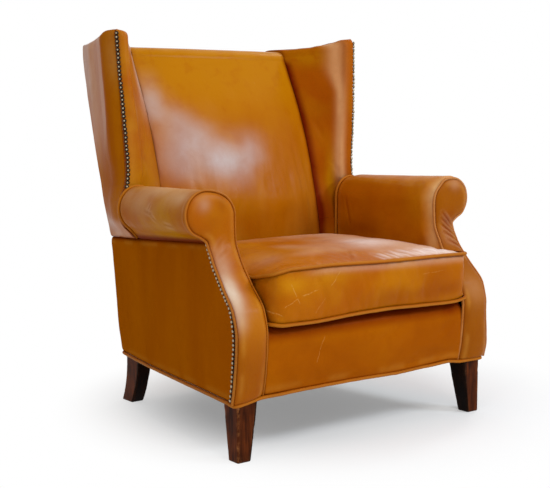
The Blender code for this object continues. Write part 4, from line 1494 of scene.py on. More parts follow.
@dataclass
class Wings(Upholstery):
    """Both wings: the padded inside with its nailed roll, the outside panel, and the welt."""

    stretch: tuple[int, ...] = (8, 12, 14, 18, 52)
    corner_radius: float = 0.014
    panel_top: float = 0.9735
    arch_from: float = 0.952
    arch_height: float = 0.022
    shell: float = 0.008
    crease_x: float = 0.2606
    foot: tuple[float, float] = (0.300, 0.4882)
    roll_from: float = 0.4886
    panel_from: float = 0.9302
    level_top: float = 0.97

    def build(self) -> None:
        """Makes the pieces of both wings."""
        for side in Side:
            self.inside(side)
            self.outside(side)
            self.cord(side)

    def plan(self, z: float) -> Array:
        """The inside wing's visible line at one height, from the nails round the roll to the back.

        Args:
            z: the height.
        Returns:
            The line's points, as (x, y).
        """
        f = self.form
        crease = float(f.crease(z))
        if z < self.roll_from:
            knots = [(0.3085, 0.1330), (0.3064, 0.1266), (0.2990, 0.1262), (0.2880, 0.1290),
                     (0.2740, 0.1340), (self.crease_x, min(crease, 0.150))]
        else:
            edge_x, edge_y = float(f.wing_x(z)), float(f.wing_y(z))
            width = mix(0.058, 0.038, float(ease((z - 0.62) / 0.36)))
            low = float(ease((0.60 - z) / 0.11))
            knots = [(edge_x - 0.0005, edge_y + 0.0068), (edge_x - 0.004, edge_y - 0.002),
                     (edge_x - 0.4 * width, edge_y - 0.009), (edge_x - 0.8 * width, edge_y - 0.005),
                     (edge_x - width, edge_y + mix(0.008, -0.010, low)), (self.crease_x, crease)]
        return spread(knots, self.stretch)

    def inside(self, side: Side) -> None:
        """The padded inside of the wing, rolled over its front edge and arched over its top.

        Args:
            side: which side of the chair it is on.
        """
        f, name = self.form, f"inside_wing_{side.word}"
        levels = np.concatenate([np.linspace(*self.foot, 26),
                                 np.linspace(self.roll_from, self.arch_from, 150)])
        lines = np.array([self.plan(z) for z in levels])
        count = lines.shape[1]
        points = np.dstack([lines, np.broadcast_to(levels[:, None], lines.shape[:2])])
        normals = outward(points, closed=False)
        normals = normals * np.sign(-normals[..., 1].mean())
        steps = np.linalg.norm(np.diff(lines, axis=1), axis=2)
        run = np.concatenate([np.zeros((len(levels), 1)), np.cumsum(steps, axis=1)], axis=1)
        from_crease, from_nails = run[:, -1:] - run, run

        # the hide dips to the nails and to the crease against the back
        seed = 111 + side.value
        sink = tuck(from_crease, 0.012, 0.0010) + tuck(from_nails, 0.006, 0.0015)
        lift = 0.0016 * cloud(points, (6, 6, 3.5), seed) + 0.0005 * cloud(points, 26, seed + 1)
        lift = lift * ease(from_nails / 0.012) * ease(from_crease / 0.02)
        lift = lift + Puckers(0.0009, 0.012, 95.0, 0.2).lift(points[..., 2], from_nails, seed + 2)
        points = points + normals * (lift - sink)[..., None]
        points = pressed(points, normals, self.creases())
        hidden = self.hidden(points, normals, levels)

        # painted shade at the nails and crease, darker on the right; painted highlight down each roll
        right = (side.value + 1) / 2
        groove = seam_mask(from_crease, 0.006) * mix(0.08, 0.7, right)
        groove = groove + 0.85 * bell(from_nails - 0.005, 0.0050)
        below = 1 - ease((points[..., 2] - 0.925) / 0.025)
        groove = groove * np.maximum(below, ease(1 - from_nails / 0.015))
        deep = ease(1 - from_crease / 0.028) * mix(0.25, 1.0, right) * below
        high = ease((points[..., 2] - 0.84) / 0.09)
        haze = right * bell((from_nails - 0.058 - 0.016 * high) / (0.0140 + 0.011 * high), 1.0)
        haze = haze * ease((points[..., 2] - 0.57) / 0.05)
        rub = mix(0.55, 0.0, right) * bell(from_nails - 0.022, 0.012)
        rub = rub * ease(0.55 + cloud(points, (18, 18, 6), seed + 3))
        rub = rub * ease((points[..., 2] - 0.50) / 0.03)

        # the arched top carries on from the last row, and lifts towards the front tip
        rows, more = self.arch(points[-1], hidden[-1], from_crease[-1],
                               self.arch_height + 0.0016 * right)
        top = np.ones((len(rows), 1))
        rings = np.concatenate([np.concatenate([points, hidden], axis=1), rows])
        dark = np.zeros((len(levels), hidden.shape[1]))
        groove = np.vstack([np.hstack([groove, dark + 1]), more])
        rub, deep, haze = (np.vstack([np.hstack([mask, dark]), top * np.hstack([mask[-1], dark[0]])])
                           for mask in (rub, deep, haze))
        at = np.concatenate([levels, np.full(len(rows), self.level_top)])[:, None]
        rings[..., 2] += f.wing_lift(rings[..., 0], rings[..., 1], at)
        masks = {"groove": groove, "rub": rub, "deep": deep, "haze": haze}
        self.upholster(f"{side.word}_inside_wing", rings, masks, "wing", side, name, 0.8)

    def hidden(self, points: Array, normals: Array, levels: Array) -> Array:
        """The wall behind the padding: a shell's thickness in, and back to the panel at the top.

        Args:
            points: the padding's points.
            normals: their normals.
            levels: the height of each row.
        Returns:
            The wall's points, row by row.
        """
        f = self.form
        picks = np.linspace(points.shape[1] - 1, 0, 24).astype(int)
        wall = points[:, picks] - normals[:, picks] * self.shell
        for row in np.nonzero(levels > self.panel_from)[0]:
            z = levels[row]
            back = float(f.rear(z)) - f.rear_gap
            front = float(f.wing_y(z)) + 0.0070
            y = np.concatenate([np.full(10, back), np.linspace(back, front, 15)[1:]])
            outer = f.wing_side_x(y, z) - 0.0080
            x = np.concatenate([np.linspace(self.crease_x, outer[0], 10), outer[10:]])
            wall[row, :, 0], wall[row, :, 1] = x, y
        wall[..., 2] = levels[:, None]
        return wall

    def arch(self, front: Array, rear: Array, from_crease: Array,
             height: float) -> tuple[Array, Array]:
        """Closes the top of the wing in a soft arch.

        Args:
            front: the padding's last row.
            rear: the wall's last row.
            from_crease: how far each front point is from the back.
            height: how high the arch rises.
        Returns:
            The arch's rows, and their groove mask.
        """
        count = len(front)
        share_front = np.linspace(0, 1, count)
        share_rear = np.linspace(1, 0, len(rear))
        back_at = np.column_stack([np.interp(share_front, share_rear[::-1], rear[::-1, k])
                                   for k in range(3)])
        front_at = np.column_stack([np.interp(share_rear, share_front, front[:, k])
                                    for k in range(3)])
        ring = np.vstack([front, rear])
        spine = np.vstack([(front + back_at) / 2, (rear + front_at) / 2])
        rows, masks = [], []
        for step in np.linspace(0, 0.985, 26)[1:]:
            row = mix(ring, spine, step ** 2)
            row[:, 2] = self.arch_from + height * (1 - (1 - step) ** 3)
            rows.append(row)
            groove = np.concatenate([0.15 * seam_mask(from_crease), np.zeros(len(rear))])
            masks.append(groove * (1 - step))
        return np.array(rows), np.array(masks)

    def creases(self) -> list[Crease]:
        """Soft folds in the wing's leather.

        Returns:
            The folds, as on a right-hand wing.
        """
        f = self.form
        lines = ((0.335, 0.615, 0.318, 0.660), (0.300, 0.700, 0.286, 0.770),
                 (0.345, 0.900, 0.330, 0.845))
        made = []
        for x0, z0, x1, z1 in lines:
            start = (x0, float(f.crease(z0)) * 0.7 + 0.02, z0)
            end = (x1, float(f.crease(z1)) * 0.8 + 0.02, z1)
            made.append(Crease(start, end, 0.0010, 0.0070))
        return made

    def outside(self, side: Side) -> None:
        """The outside wing panel, from its nailed front edge round to the back corner.

        Args:
            side: which side of the chair it is on.
        """
        f, name = self.form, f"outside_wing_{side.word}"
        rows, columns = 150, 120
        rise, share = dense_ends(rows, 0.35)[:, None], dense_ends(columns, 0.3)[None]
        share = mix(share, share ** 1.5, 0.6)
        z = mix(0.476, 0.962, np.broadcast_to(rise, (rows, columns)))
        for _ in range(5):  # as above: the heights and the edges settle together
            collar = 0.0300 * ease((0.505 - z) / 0.020)
            front, rear = f.wing_y(z) + 0.0078 - collar, f.rear(z) - self.corner_radius
            y = mix(front, rear, share)
            x = f.wing_side_x(y, z)
            z = mix(f.seam_z(y) + 0.0006, self.panel_top + f.wing_lift(x, y, self.level_top), rise)
        from_front = y - front

        # a stuffed strip behind the nails stands proud of the flat panel
        strip = Profile(((0.0, 0.0), (0.012, 0.0048), (0.040, 0.0128), (0.062, 0.0160),
                         (0.072, 0.0160), (0.088, 0.0136), (0.125, 0.0072), (0.22, 0.0)))
        above = ease((z - 0.60) / 0.10)
        x = f.wing_side_x(y, z) + strip(from_front) * mix(0.35, 1.0, above)
        points = np.stack([x, y, z], axis=-1)
        from_top = self.panel_top + f.wing_lift(x, y, self.level_top) - z
        from_foot = z - f.seam_z(y)
        seed = 131 + side.value
        quiet = ease(from_front / 0.02) * ease(from_top / 0.02) * ease(from_foot / 0.02)
        lift = 0.0011 * cloud(points, (1, 12, 2.0), seed) + 0.0004 * cloud(points, 30, seed + 1)
        lift = lift * quiet + Puckers(0.0011, 0.014, 55.0, 0.2).lift(y, from_foot, seed + 2)
        sink = tuck(from_top, 0.014, 0.0045) + tuck(from_foot, 0.010, 0.0048)
        sink = sink + tuck(from_front, 0.006, 0.0042)
        points[..., 0] += lift - sink
        points[..., 2] -= 0.004 * bell(from_front - 0.070, 0.018) * ease(1 - from_top / 0.03)
        panel = SidePanel(points, z, front, rear, self.corner_radius, f.wing_side_x)
        rings = panel.rings(0.009, 0.0062, (-1, 76, 40, 0))
        groove = 0.8 * seam_mask(np.minimum(from_foot * 0.8, from_front * 1.2), 0.005)
        groove = groove + 0.15 * seam_mask(from_top, 0.004)
        rub = 0.40 * bell(from_top - 0.012, 0.006) + 0.40 * bell(from_foot - 0.011, 0.005)
        rub = rub * ease(0.6 + cloud(points, 20, seed + 4))
        more_wear_and_sheen, more_grime_and_shade = panel.unseen(rows, 0.4, 0.15)

        # the panel behind the strip is waxed, more so high up, at its foot and by the back corner
        shine = mix(0.02, 0.85, ease((z - 0.58) / 0.22)) + 0.8 * ease((0.535 - z) / 0.035)
        shine = shine + 0.60 * ease((from_front - 0.15) / 0.08) * ease((z - 0.62) / 0.12)
        lower = ease((0.80 - z) / 0.18)
        start = mix(0.066, 0.095, lower)
        wax = ease((from_front - start) / mix(0.012, 0.070, lower))
        wax = np.maximum(wax, ease((0.530 - z) / 0.03)) * shine
        wax = np.hstack([wax, np.broadcast_to(shine[:, -1:], more_wear_and_sheen.shape)])
        masks = {"groove": np.hstack([groove, more_grime_and_shade]), "rub": np.hstack([rub, more_wear_and_sheen]),
                 "wax": wax}
        self.upholster(f"{side.word}_outside_wing", rings, masks, "panel", side, name, 0.6)

    def cord(self, side: Side) -> None:
        """The welt between the arm's back end and the wing.

        Args:
            side: which side of the chair it is on.
        """
        f = self.form
        arc = f.arm_back.outline(0.314, 0.001, 260)
        y = f.arm_end_y + f.welt + 0.0004
        path = np.column_stack([arc[:, 0], np.full(len(arc), y), arc[:, 1]])
        tangent = slope_along(arc)
        outside = np.column_stack([-tangent[:, 1], np.full(len(arc), -0.4), tangent[:, 0]])
        self.maker.cord(f"{side.word}_wing_welt", mirrored(path, side), mirrored(outside, side),
                        self.welt, [f"wing_welt_{side.word}"], radius=0.0040, seed=151 + side.value)


# ------------------------------------------------------------------------------ back

@dataclass
class Back(Upholstery):
    """The sprung inside back and the flat outside back."""

    roll: float = 0.026
    foot: float = 0.290
    padding: float = 0.055

    def build(self) -> None:
        """Makes both panels."""
        self.inside()
        self.outside()

    def crown(self, across: Array, z: Array) -> Array:
        """How far the stuffing stands forward of the creases."""
        rise = 0.024 * ease((z - 0.42) / 0.14) * (1 - 0.75 * ease((z - 0.74) / 0.22))
        return rise * (1 - across ** 4) + 0.006 * (1 - across * across)

    def inside(self) -> None:
        """The inside back, crowned between the wings and rolled over the top rail."""
        f = self.form
        columns, rows = 170, 190
        across = 2 * dense_ends(columns, 0.45)[:, None] - 1
        rise = np.linspace(self.foot, f.back_top - self.roll, rows)[None]
        x = f.crease_x * across
        front_z = np.broadcast_to(rise, (columns, rows))
        front_y = f.crease(front_z) - self.crown(across, front_z)

        # over the top rail, and flat to the outside back
        turn = np.radians(np.linspace(0, 90, 22))[1:][None]
        start = front_y[:, -1:]
        roll_y = start + 0.032 * (1 - np.cos(turn))
        roll_z = np.broadcast_to(f.back_top - self.roll * (1 - np.sin(turn)), roll_y.shape)
        back_y = float(f.rear(0.955)) - f.rear_gap
        flat = np.linspace(0, 1, 14)[1:][None]
        flat_y = mix(roll_y[:, -1:], back_y, flat)
        flat_z = f.back_top - 0.012 * flat ** 2.2 + 0.0 * across
        y = np.concatenate([front_y, roll_y, flat_y], axis=1)
        z = np.concatenate([front_z, roll_z, flat_z], axis=1)
        points = np.dstack([np.broadcast_to(x, y.shape), y, z])
        normals = outward(points, closed=False)
        normals = normals * np.sign(normals[..., 2:3] - normals[..., 1:2] + 1e-9)

        # wear leaves it uneven low down, where a back leans, and it is gathered along both wings
        from_wing = f.crease_x - np.abs(points[..., 0])
        low = ease((0.78 - z) / 0.22)
        lift = 0.0030 * low * cloud(points, (9, 3, 2.3), 201) + 0.0011 * cloud(points, 14, 202)
        lift = lift + 0.0006 * low * cloud(points, (60, 10, 9), 203)
        lift = lift * ease(from_wing / 0.03) * ease((0.99 - z) / 0.06)
        gathers = Puckers(0.0012, 0.030, 34.0, 0.9)
        lift = lift + gathers.lift(z, from_wing, 204, ease((0.93 - z) / 0.1))
        points = points + normals * (lift - tuck(from_wing, 0.012, 0.0010))[..., None]
        points = pressed(points, normals, self.creases())
        behind_z = np.array([0.945, 0.931, 0.929, 0.75, 0.55, 0.40, self.foot])
        behind_y = np.array([back_y, back_y, *(f.crease(behind_z[2:]) + self.padding)])
        wall = np.empty((columns, len(behind_z), 3))
        wall[..., 0], wall[..., 1], wall[..., 2] = x, behind_y, behind_z
        rings = np.concatenate([points, wall], axis=1)
        # painted shade in each wing crease, darker on the right
        right = (points[..., 0] > 0) * 1.0
        groove = seam_mask(from_wing, 0.005) * mix(0.06, 0.7, right)
        deep = ease(1 - from_wing / 0.016) * mix(0.25, 0.7, right)
        # wear low down, and a pale band of wear and painted highlight along the top roll
        top = bell(np.arange(y.shape[1])[None] - (rows + 12), 7.0) * 0.85
        worn = top * ease(0.75 + cloud(points, 14, 205))
        worn = worn + 0.35 * ease((0.68 - z) / 0.12) * ease(0.35 + cloud(points, (22, 8, 5), 206))
        masks = {"groove": groove, "rub": worn, "deep": deep}
        self.upholster("inside_back_cover", rings, masks, "back", Side.RIGHT, "inside_back", 0.85)

    def creases(self) -> list[Crease]:
        """Long soft folds that leaning has left in the back.

        Returns:
            The folds.
        """
        lines = (
            (0.205, 0.560, 0.188, 0.700, 0.0016, 0.009), (0.160, 0.500, 0.150, 0.640, 0.0012, 0.010),
            (-0.020, 0.560, -0.050, 0.500, 0.0010, 0.010), (0.090, 0.520, 0.070, 0.610, 0.0010, 0.009),
            (-0.150, 0.520, -0.170, 0.620, 0.0014, 0.010), (0.228, 0.470, 0.222, 0.560, 0.0016, 0.007),
        )
        made = []
        for x0, z0, x1, z1, depth, width in lines:
            y0, y1 = (float(self.form.crease(z) - self.crown(x / self.form.crease_x, z))
                      for x, z in ((x0, z0), (x1, z1)))
            made.append(Crease((x0, y0, z0), (x1, y1, z1), depth, width))
        return made

    def outside(self) -> None:
        """The outside back, stretched between its two corner seams."""
        f = self.form
        rows, columns, top = 120, 110, 0.956
        z = mix(f.panel_bottom, top, dense_ends(rows, 0.4))[:, None]
        across = 2 * dense_ends(columns, 0.45)[None] - 1
        half = f.corner(z) - 0.0215
        x = half * across
        y = f.rear(z) + 0.004 * (1 - across * across)
        points = np.dstack([x, y, np.broadcast_to(z, x.shape)])
        from_side, from_foot, from_top = half - np.abs(x), z - f.panel_bottom, top - z
        lift = 0.0012 * cloud(points, (11, 1, 2.2), 221) + 0.0004 * cloud(points, 30, 222)
        lift = lift * ease(from_side / 0.03) * ease(from_foot / 0.02) * ease(from_top / 0.02)
        lift = lift + Puckers(0.0009, 0.014, 60.0, 0.2).lift(points[..., 2], from_side, 223)
        sink = tuck(from_side, 0.010, 0.0045) + tuck(from_foot, 0.010, 0.0050)
        sink = sink + tuck(from_top, 0.014, 0.0060)
        points[..., 1] += lift - sink
        wall = np.empty((rows, 5, 3))
        for k, share in enumerate((1, 0.5, 0, -0.5, -1)):
            wall[:, k, 0] = (half * share)[:, 0]
            wall[:, k, 1] = f.rear(z[:, 0]) - 0.0062
            wall[:, k, 2] = z[:, 0]
        rings = np.concatenate([points, wall], axis=1)
        away = np.minimum(np.minimum(from_side, from_foot), from_top)
        rub = 0.4 * bell(away - 0.010, 0.005) * ease(0.6 + cloud(points, 18, 224))
        masks = {"groove": seam_mask(away, 0.006), "rub": rub}
        self.upholster("outside_back_cover", rings, masks, "panel", Side.RIGHT, "outside_back", 0.5)


# ------------------------------------------------------------------------------ seat

@dataclass
class SeatBox(Upholstery):
    """The padded border across the front, and the welt round the lower edge."""

    half_width: float = 0.3172
    swell: float = 0.004

    def build(self) -> None:
        """Makes both pieces."""
        self.border()
        self.lower_welt()

    def border(self) -> None:
        """The band of leather between the facings, rolled back under the cushion."""
        f = self.form
        section = spread([(-0.3555, 0.1390), (-0.363, 0.180), (-0.3675, 0.225), (-0.3675, 0.266),
                          (-0.362, 0.291), (-0.350, 0.3030), (-0.318, 0.3055)],
                         (22, 24, 22, 20, 16, 14))
        columns = 190
        across = 2 * dense_ends(columns, 0.4)[:, None] - 1
        x = self.half_width * across + 0.0042 * ease((across - 0.5) / 0.5)
        y = section[None, :, 0] - self.swell * (1 - across * across)
        z = np.broadcast_to(section[None, :, 1], y.shape)
        points = np.dstack([np.broadcast_to(x, y.shape), y, z])
        tangent = slope_along(section)
        normal = np.stack([0 * tangent[:, 0], -tangent[:, 1], tangent[:, 0]], axis=-1)[None]
        from_side, from_foot = self.half_width * (1 - np.abs(across)) + 0 * z, z - f.panel_bottom
        quiet = ease(from_side / 0.03) * ease(from_foot / 0.02)
        lift = 0.0022 * cloud(points, (6, 3, 14), 301) + 0.0006 * cloud(points, 30, 302)
        lift = lift * quiet + Puckers(0.0008, 0.020, 50.0, 0.4).lift(z, from_side, 303)
        sink = tuck(from_side, 0.008, 0.0020) + tuck(from_foot, 0.010, 0.0022)
        points = points + normal * (lift - sink)[..., None]
        points = pressed(points, normal, [
            Crease((-0.150, -0.366, 0.270), (-0.060, -0.371, 0.235), 0.0014, 0.012),
            Crease((0.120, -0.370, 0.268), (0.020, -0.372, 0.240), 0.0012, 0.012),
            Crease((0.285, -0.366, 0.262), (0.230, -0.369, 0.225), 0.0012, 0.010),
        ])
        wall = np.empty((columns, 4, 3))
        for k, (back, height) in enumerate(((-0.317, 0.275), (-0.330, 0.262), (-0.348, 0.255),
                                            (-0.348, f.panel_bottom))):
            wall[:, k] = np.column_stack([x[:, 0], np.full(columns, back), np.full(columns, height)])
        rings = np.concatenate([points, wall], axis=1)
        # painted shadow along the top, under the cushion's overhang; grime and painted shade at seams
        groove = 0.6 * seam_mask(from_side, 0.0035) + 0.8 * seam_mask(from_foot, 0.005)
        groove = groove + 0.8 * ease((z - 0.286) / 0.012)
        rub = 0.35 * bell(from_foot - 0.014, 0.010) * ease(0.4 + cloud(points, 20, 304))
        masks = {"groove": groove, "rub": rub, "deep": 0.7 * ease((z - 0.262) / 0.026)}
        self.upholster("front_border_cover", rings, masks, "border", Side.RIGHT, "front_border", 0.8)

    def lower_welt(self) -> None:
        """The welt round the lower edge, with its corners tucked in over the legs."""
        f = self.form
        z = f.panel_bottom - f.welt + 0.0010
        corner_x = float(f.corner(z)) + 0.0005
        front_x, front_y = 0.3995, float(f.facing(z)) - 0.0015
        back_y = float(f.rear(z)) - 0.006
        corners = [((front_x, front_y), 0.020), ((corner_x, back_y), 0.016),
                   ((-corner_x, back_y), 0.016), ((-front_x, front_y), 0.018)]
        path = []
        for i, (corner, reach) in enumerate(corners):
            corner = np.array(corner)
            before, after = np.array(corners[i - 1][0]), np.array(corners[(i + 1) % 4][0])
            start = corner + (before - corner) / np.linalg.norm(before - corner) * reach
            end = corner + (after - corner) / np.linalg.norm(after - corner) * reach
            for t in np.linspace(0, 1, 12):
                bend = (1 - t) ** 2 * start + 2 * t * (1 - t) * corner + t * t * end
                path.append((*bend, z))
        path.append(path[0])
        line = evenly(np.array(path), 901)[:-1]
        line[:, 2] += 0.0006 * cloud(line, 22, 311)
        outside = line * np.array([1.0, 1.0, 0.0]) + np.array([0.0, 0.0, -0.10])
        self.maker.cord("lower_edge_welt", line, outside, self.welt, ["base_welt"], closed=True,
                        seed=312)


@dataclass
class Underside:
    """The front rail and the cambric, trimmed so that nothing hangs below the risen hem."""

    maker: Maker
    timber: bpy.types.Material
    cambric: bpy.types.Material
    rail_foot: float = 0.1362
    front_legs: float = -0.2960
    rear_legs: float = 0.2280
    front_half: float = 0.327
    between_half: tuple[float, float] = (0.383, 0.316)
    rear_half: float = 0.250

    def build(self) -> None:
        """Makes both pieces."""
        self.rail()
        self.dust_cover()

    def chair_box(self, node: str) -> tuple[Array, Array]:
        """A solid's box, in the chair's own measure.

        Args:
            node: the solid's name.
        Returns:
            Its lowest and its highest corner.
        """
        shift = np.array([0.0, self.maker.form.shift, 0.0])
        low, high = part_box(node)
        return np.array(tuple(low)) - shift, np.array(tuple(high)) - shift

    def rail(self) -> None:
        """The front rail, with its lower edge cut to the hem."""
        low, high = self.chair_box("front_rail")
        across = np.linspace(low[0], high[0], 80)[:, None]
        y = np.array([low[1], low[1], high[1], high[1]])[None]
        z = np.array([high[2], self.rail_foot, self.rail_foot, high[2]])[None]
        rings = np.dstack(np.broadcast_arrays(across, y, z))
        self.maker.skin("front_rail_timber", rings, {}, self.timber, ["front_rail"],
                        slot="frame_wood")

    def dust_cover(self) -> None:
        """The cambric, drawn up to the front rail and notched round the legs."""
        low, high = self.chair_box("dust_cover")
        front_legs, rear_legs = self.front_legs, self.rear_legs
        y = np.concatenate([np.linspace(low[1], front_legs - 0.0005, 16),
                            np.linspace(front_legs, rear_legs - 0.0005, 40),
                            np.linspace(rear_legs, high[1], 6)])[:, None]
        between = mix(*self.between_half, (y - front_legs) / (rear_legs - front_legs))
        half = np.select([y < front_legs - 0.0002, y < rear_legs - 0.0002],
                         [self.front_half, between], self.rear_half)
        x = half * np.linspace(-1, 1, 60)[None]
        drawn = 0.0100 * (1 - ease((y - low[1]) / 0.090)) * ease((0.350 - np.abs(x)) / 0.020)
        z = low[2] + drawn
        top = np.dstack(np.broadcast_arrays(x, y, z + 0.0012))
        under = np.dstack(np.broadcast_arrays(x, y, z))[:, ::-1]
        self.maker.skin("dust_cover_cambric", np.concatenate([top, under], axis=1), {}, self.cambric,
                        ["dust_cover"], slot="deck_cloth")


@dataclass
class Cushion(Upholstery):
    """The loose seat cushion: sewn between two welts, blown up by simulation, then creased."""

    half_front: float = 0.3105
    half_back: float = 0.298
    front: float = -0.388
    back: float = 0.122
    rests_at: float = 0.3064
    bottom: float = 0.3068
    low: float = 0.3185
    high: float = 0.4300
    flat_to: float = 0.86
    squareness: tuple[float, float, float, float] = (0.070, 0.045, 0.16, 0.16)
    upper_wave: Profile = Profile((
        (-0.315, -0.001), (-0.288, 0.0034), (-0.262, 0.0074), (-0.233, 0.0080), (-0.133, 0.0090),
        (-0.028, 0.0061), (0.082, 0.0032), (0.197, 0.0023), (0.31, 0.0004),
    ))
    lower_wave: Profile = Profile((
        (-0.315, -0.003), (-0.28, -0.0082), (-0.18, -0.0092), (-0.08, -0.0044), (0.028, -0.0022),
        (0.141, -0.0052), (0.255, -0.0086), (0.315, -0.0005),
    ))
    seam_inset: float = 0.0075
    crown: float = 0.020
    cells: int = 68
    band_rows: int = 13
    furthest: float = 0.022

    def outline(self, inset: float, count: int) -> Array:
        """The cushion's plan, evenly spaced, from the left front corner anticlockwise.

        Args:
            inset: how far inside the cushion's edge it runs.
            count: how many points each side has.
        Returns:
            The plan's points, as (x, y).
        """
        middle, half_depth = (self.front + self.back) / 2, (self.back - self.front) / 2 - inset
        quarters = []
        for quarter in range(4):
            angle = np.radians(-135 + 90 * (quarter + np.linspace(0, 1, 400)))
            c, s = np.cos(angle), np.sin(angle)
            corner = np.select([(c < 0) & (s < 0), (c >= 0) & (s < 0), (c >= 0) & (s >= 0)],
                               self.squareness[:3], self.squareness[3])
            across = np.sign(c) * np.abs(c) ** corner
            along = np.sign(s) * np.abs(s) ** corner
            half = mix(self.half_front, self.half_back, (along + 1) / 2) - inset
            quarters.append(evenly(np.column_stack([across * half, middle + along * half_depth]),
                                   count + 1)[:-1])
        return np.vstack(quarters)

    def seam(self, level: float, inset: float, count: int = 300) -> Array:
        """The line of one welt: it waves a little, and the lower one has ridden up at the left.

        Args:
            level: the welt's height.
            inset: how far inside the cushion's edge it runs.
            count: how many points each side has.
        Returns:
            The line's points.
        """
        plan = self.outline(inset, count)
        points = np.column_stack([plan, np.full(len(plan), level)])
        at_front = ease((-0.30 - plan[:, 1]) / 0.05)
        wave = self.lower_wave if level == self.low else self.upper_wave
        points[:, 2] += at_front * wave(plan[:, 0])
        if level == self.high:
            beside = ease((-0.288 - plan[:, 0]) / 0.015) * ease((-0.18 - plan[:, 1]) / 0.08)
            points[:, 2] -= 0.017 * beside * np.clip((plan[:, 1] + 0.385) / 0.090, -0.1, 1)
        near_corner = ease((-0.20 - plan[:, 1]) / 0.08) * ease((-0.299 - plan[:, 0]) / 0.013)
        points[:, 0] -= 0.0045 * near_corner
        points[:, 0] += 0.0140 * ease((-0.27 - plan[:, 1]) / 0.09) * ease((plan[:, 0] - 0.12) / 0.18)
        points[:, 2] += 0.0011 * cloud(points, (9, 9, 0), 331)
        points[:, :2] *= 1 + 0.0035 * cloud(points, (8, 8, 0), 332 + round(level * 10))[:, None]
        return points

    def net(self) -> tuple[Array, Array, Array]:
        """The sewn cover before it is filled.

        Returns:
            Its points, its quads, and whether each point is held.
        """
        # both sheets are square grids, stretched from the middle out to the seam's own line
        n = self.cells
        grid = 2 * (np.arange(n + 1) / n) - 1
        u, v = np.meshgrid(grid, grid)
        reach = np.maximum(np.abs(u), np.abs(v))
        safe = np.where(reach > 0, reach, 1)
        a, b = u / safe, v / safe
        steps = np.select([b <= -0.9999, a >= 0.9999, b >= 0.9999],
                          [(a + 1) / 2, 1 + (b + 1) / 2, 2 + (1 - a) / 2], 3 + (1 - b) / 2) % 4
        index = np.rint(steps * n).astype(int) % (4 * n)
        middle = np.array([0.0, (self.front + self.back) / 2])
        sheets, held = [], []
        for level, sign in ((self.high, 1), (self.low, -1)):
            edge = self.seam(level, self.seam_inset, n)
            flat = middle + (edge[index, :2] - middle) * reach[..., None]
            z = edge[index, 2]
            if sign > 0:
                z = mix(self.high, z, reach ** 6) + self.crown * (1 - reach ** 4.2)
            else:
                z = mix(self.bottom, z, ease((reach - self.flat_to) / (1 - self.flat_to)))
            sheets.append(np.dstack([flat, z]).reshape(-1, 3))
            held.append(((reach > 0.999) | ((sign < 0) & (reach < self.flat_to))).ravel())

        # the band between the sheets joins their rims, row by row
        rim = ([(0, i) for i in range(n)] + [(i, n) for i in range(n)]
               + [(n, n - i) for i in range(n)] + [(n - i, 0) for i in range(n)])
        rim_index = np.array([row * (n + 1) + column for row, column in rim])
        size = (n + 1) ** 2
        faces = [grid_faces(n + 1, n + 1, False, False),
                 grid_faces(n + 1, n + 1, False, False)[:, ::-1] + size]
        top, bottom_edge = sheets[0][rim_index], sheets[1][rim_index]
        outward_plan = top[:, :2] - middle
        outward_plan /= np.linalg.norm(outward_plan, axis=1, keepdims=True)
        band = []
        for row in range(1, self.band_rows + 1):
            share = row / (self.band_rows + 1)
            line = mix(bottom_edge, top, share)
            line[:, :2] += outward_plan * 0.0048 * math.sin(math.pi * share)
            band.append(line)
        base = 2 * size
        loops = [rim_index + size] + [base + i * 4 * n + np.arange(4 * n)
                                      for i in range(self.band_rows)] + [rim_index]
        for lower, upper in zip(loops, loops[1:]):
            faces.append(np.column_stack([lower, np.roll(lower, -1), np.roll(upper, -1), upper]))
        points = np.vstack(sheets + band)
        return points, np.vstack(faces), np.concatenate(held + [np.zeros(4 * n * self.band_rows, bool)])

    def fill(self, points: Array, faces: Array, held: Array) -> tuple[Array, Array]:
        """Blows the cover up as cloth, with its seams held, and makes it finer.

        Args:
            points: the cover's points.
            faces: its quads.
            held: whether each point is held.
        Returns:
            The filled cover's points and quads.
        """
        data = bpy.data.meshes.new("cushion_net")
        data.from_pydata(points.tolist(), [], faces.tolist())
        obj = bpy.data.objects.new("cushion_net", data)
        scene = bpy.context.scene
        scene.collection.objects.link(obj)
        group = obj.vertex_groups.new(name="held")
        group.add(np.nonzero(held)[0].tolist(), 1.0, "REPLACE")
        cloth = obj.modifiers.new("cloth", "CLOTH")
        rules = cloth.settings
        rules.vertex_group_mass = "held"
        rules.quality, rules.mass = 6, 0.35
        rules.tension_stiffness = rules.compression_stiffness = 14.0
        rules.shear_stiffness, rules.bending_stiffness = 6.0, 0.6
        rules.use_pressure, rules.uniform_pressure_force = True, 4.0
        rules.shrink_min = rules.shrink_max = -0.012
        rules.effector_weights.gravity = 0.0
        cloth.collision_settings.use_collision = False
        cloth.point_cache.frame_start, cloth.point_cache.frame_end = 1, 20
        for frame_number in range(1, 21):
            scene.frame_set(frame_number)
        settled = obj.evaluated_get(bpy.context.evaluated_depsgraph_get()).to_mesh()
        moved = np.empty(len(points) * 3)
        settled.vertices.foreach_get("co", moved)
        moved = moved.reshape(-1, 3)
        step = moved - points
        size = np.linalg.norm(step, axis=1, keepdims=True)
        points = points + step * np.minimum(1, self.furthest / np.maximum(size, 1e-9))
        obj.modifiers.clear()
        scene.frame_set(1)
        data.vertices.foreach_set("co", points.ravel())
        finer = obj.modifiers.new("finer", "SUBSURF")
        finer.levels = finer.render_levels = 1
        smooth = obj.evaluated_get(bpy.context.evaluated_depsgraph_get()).to_mesh()
        fine = np.empty(len(smooth.vertices) * 3)
        smooth.vertices.foreach_get("co", fine)
        corners = np.empty(len(smooth.loops), int)
        smooth.loops.foreach_get("vertex_index", corners)
        fine, corners = fine.reshape(-1, 3).copy(), corners.reshape(-1, 4).copy()
        bpy.data.objects.remove(obj)
        bpy.data.meshes.remove(data)
        return fine, corners

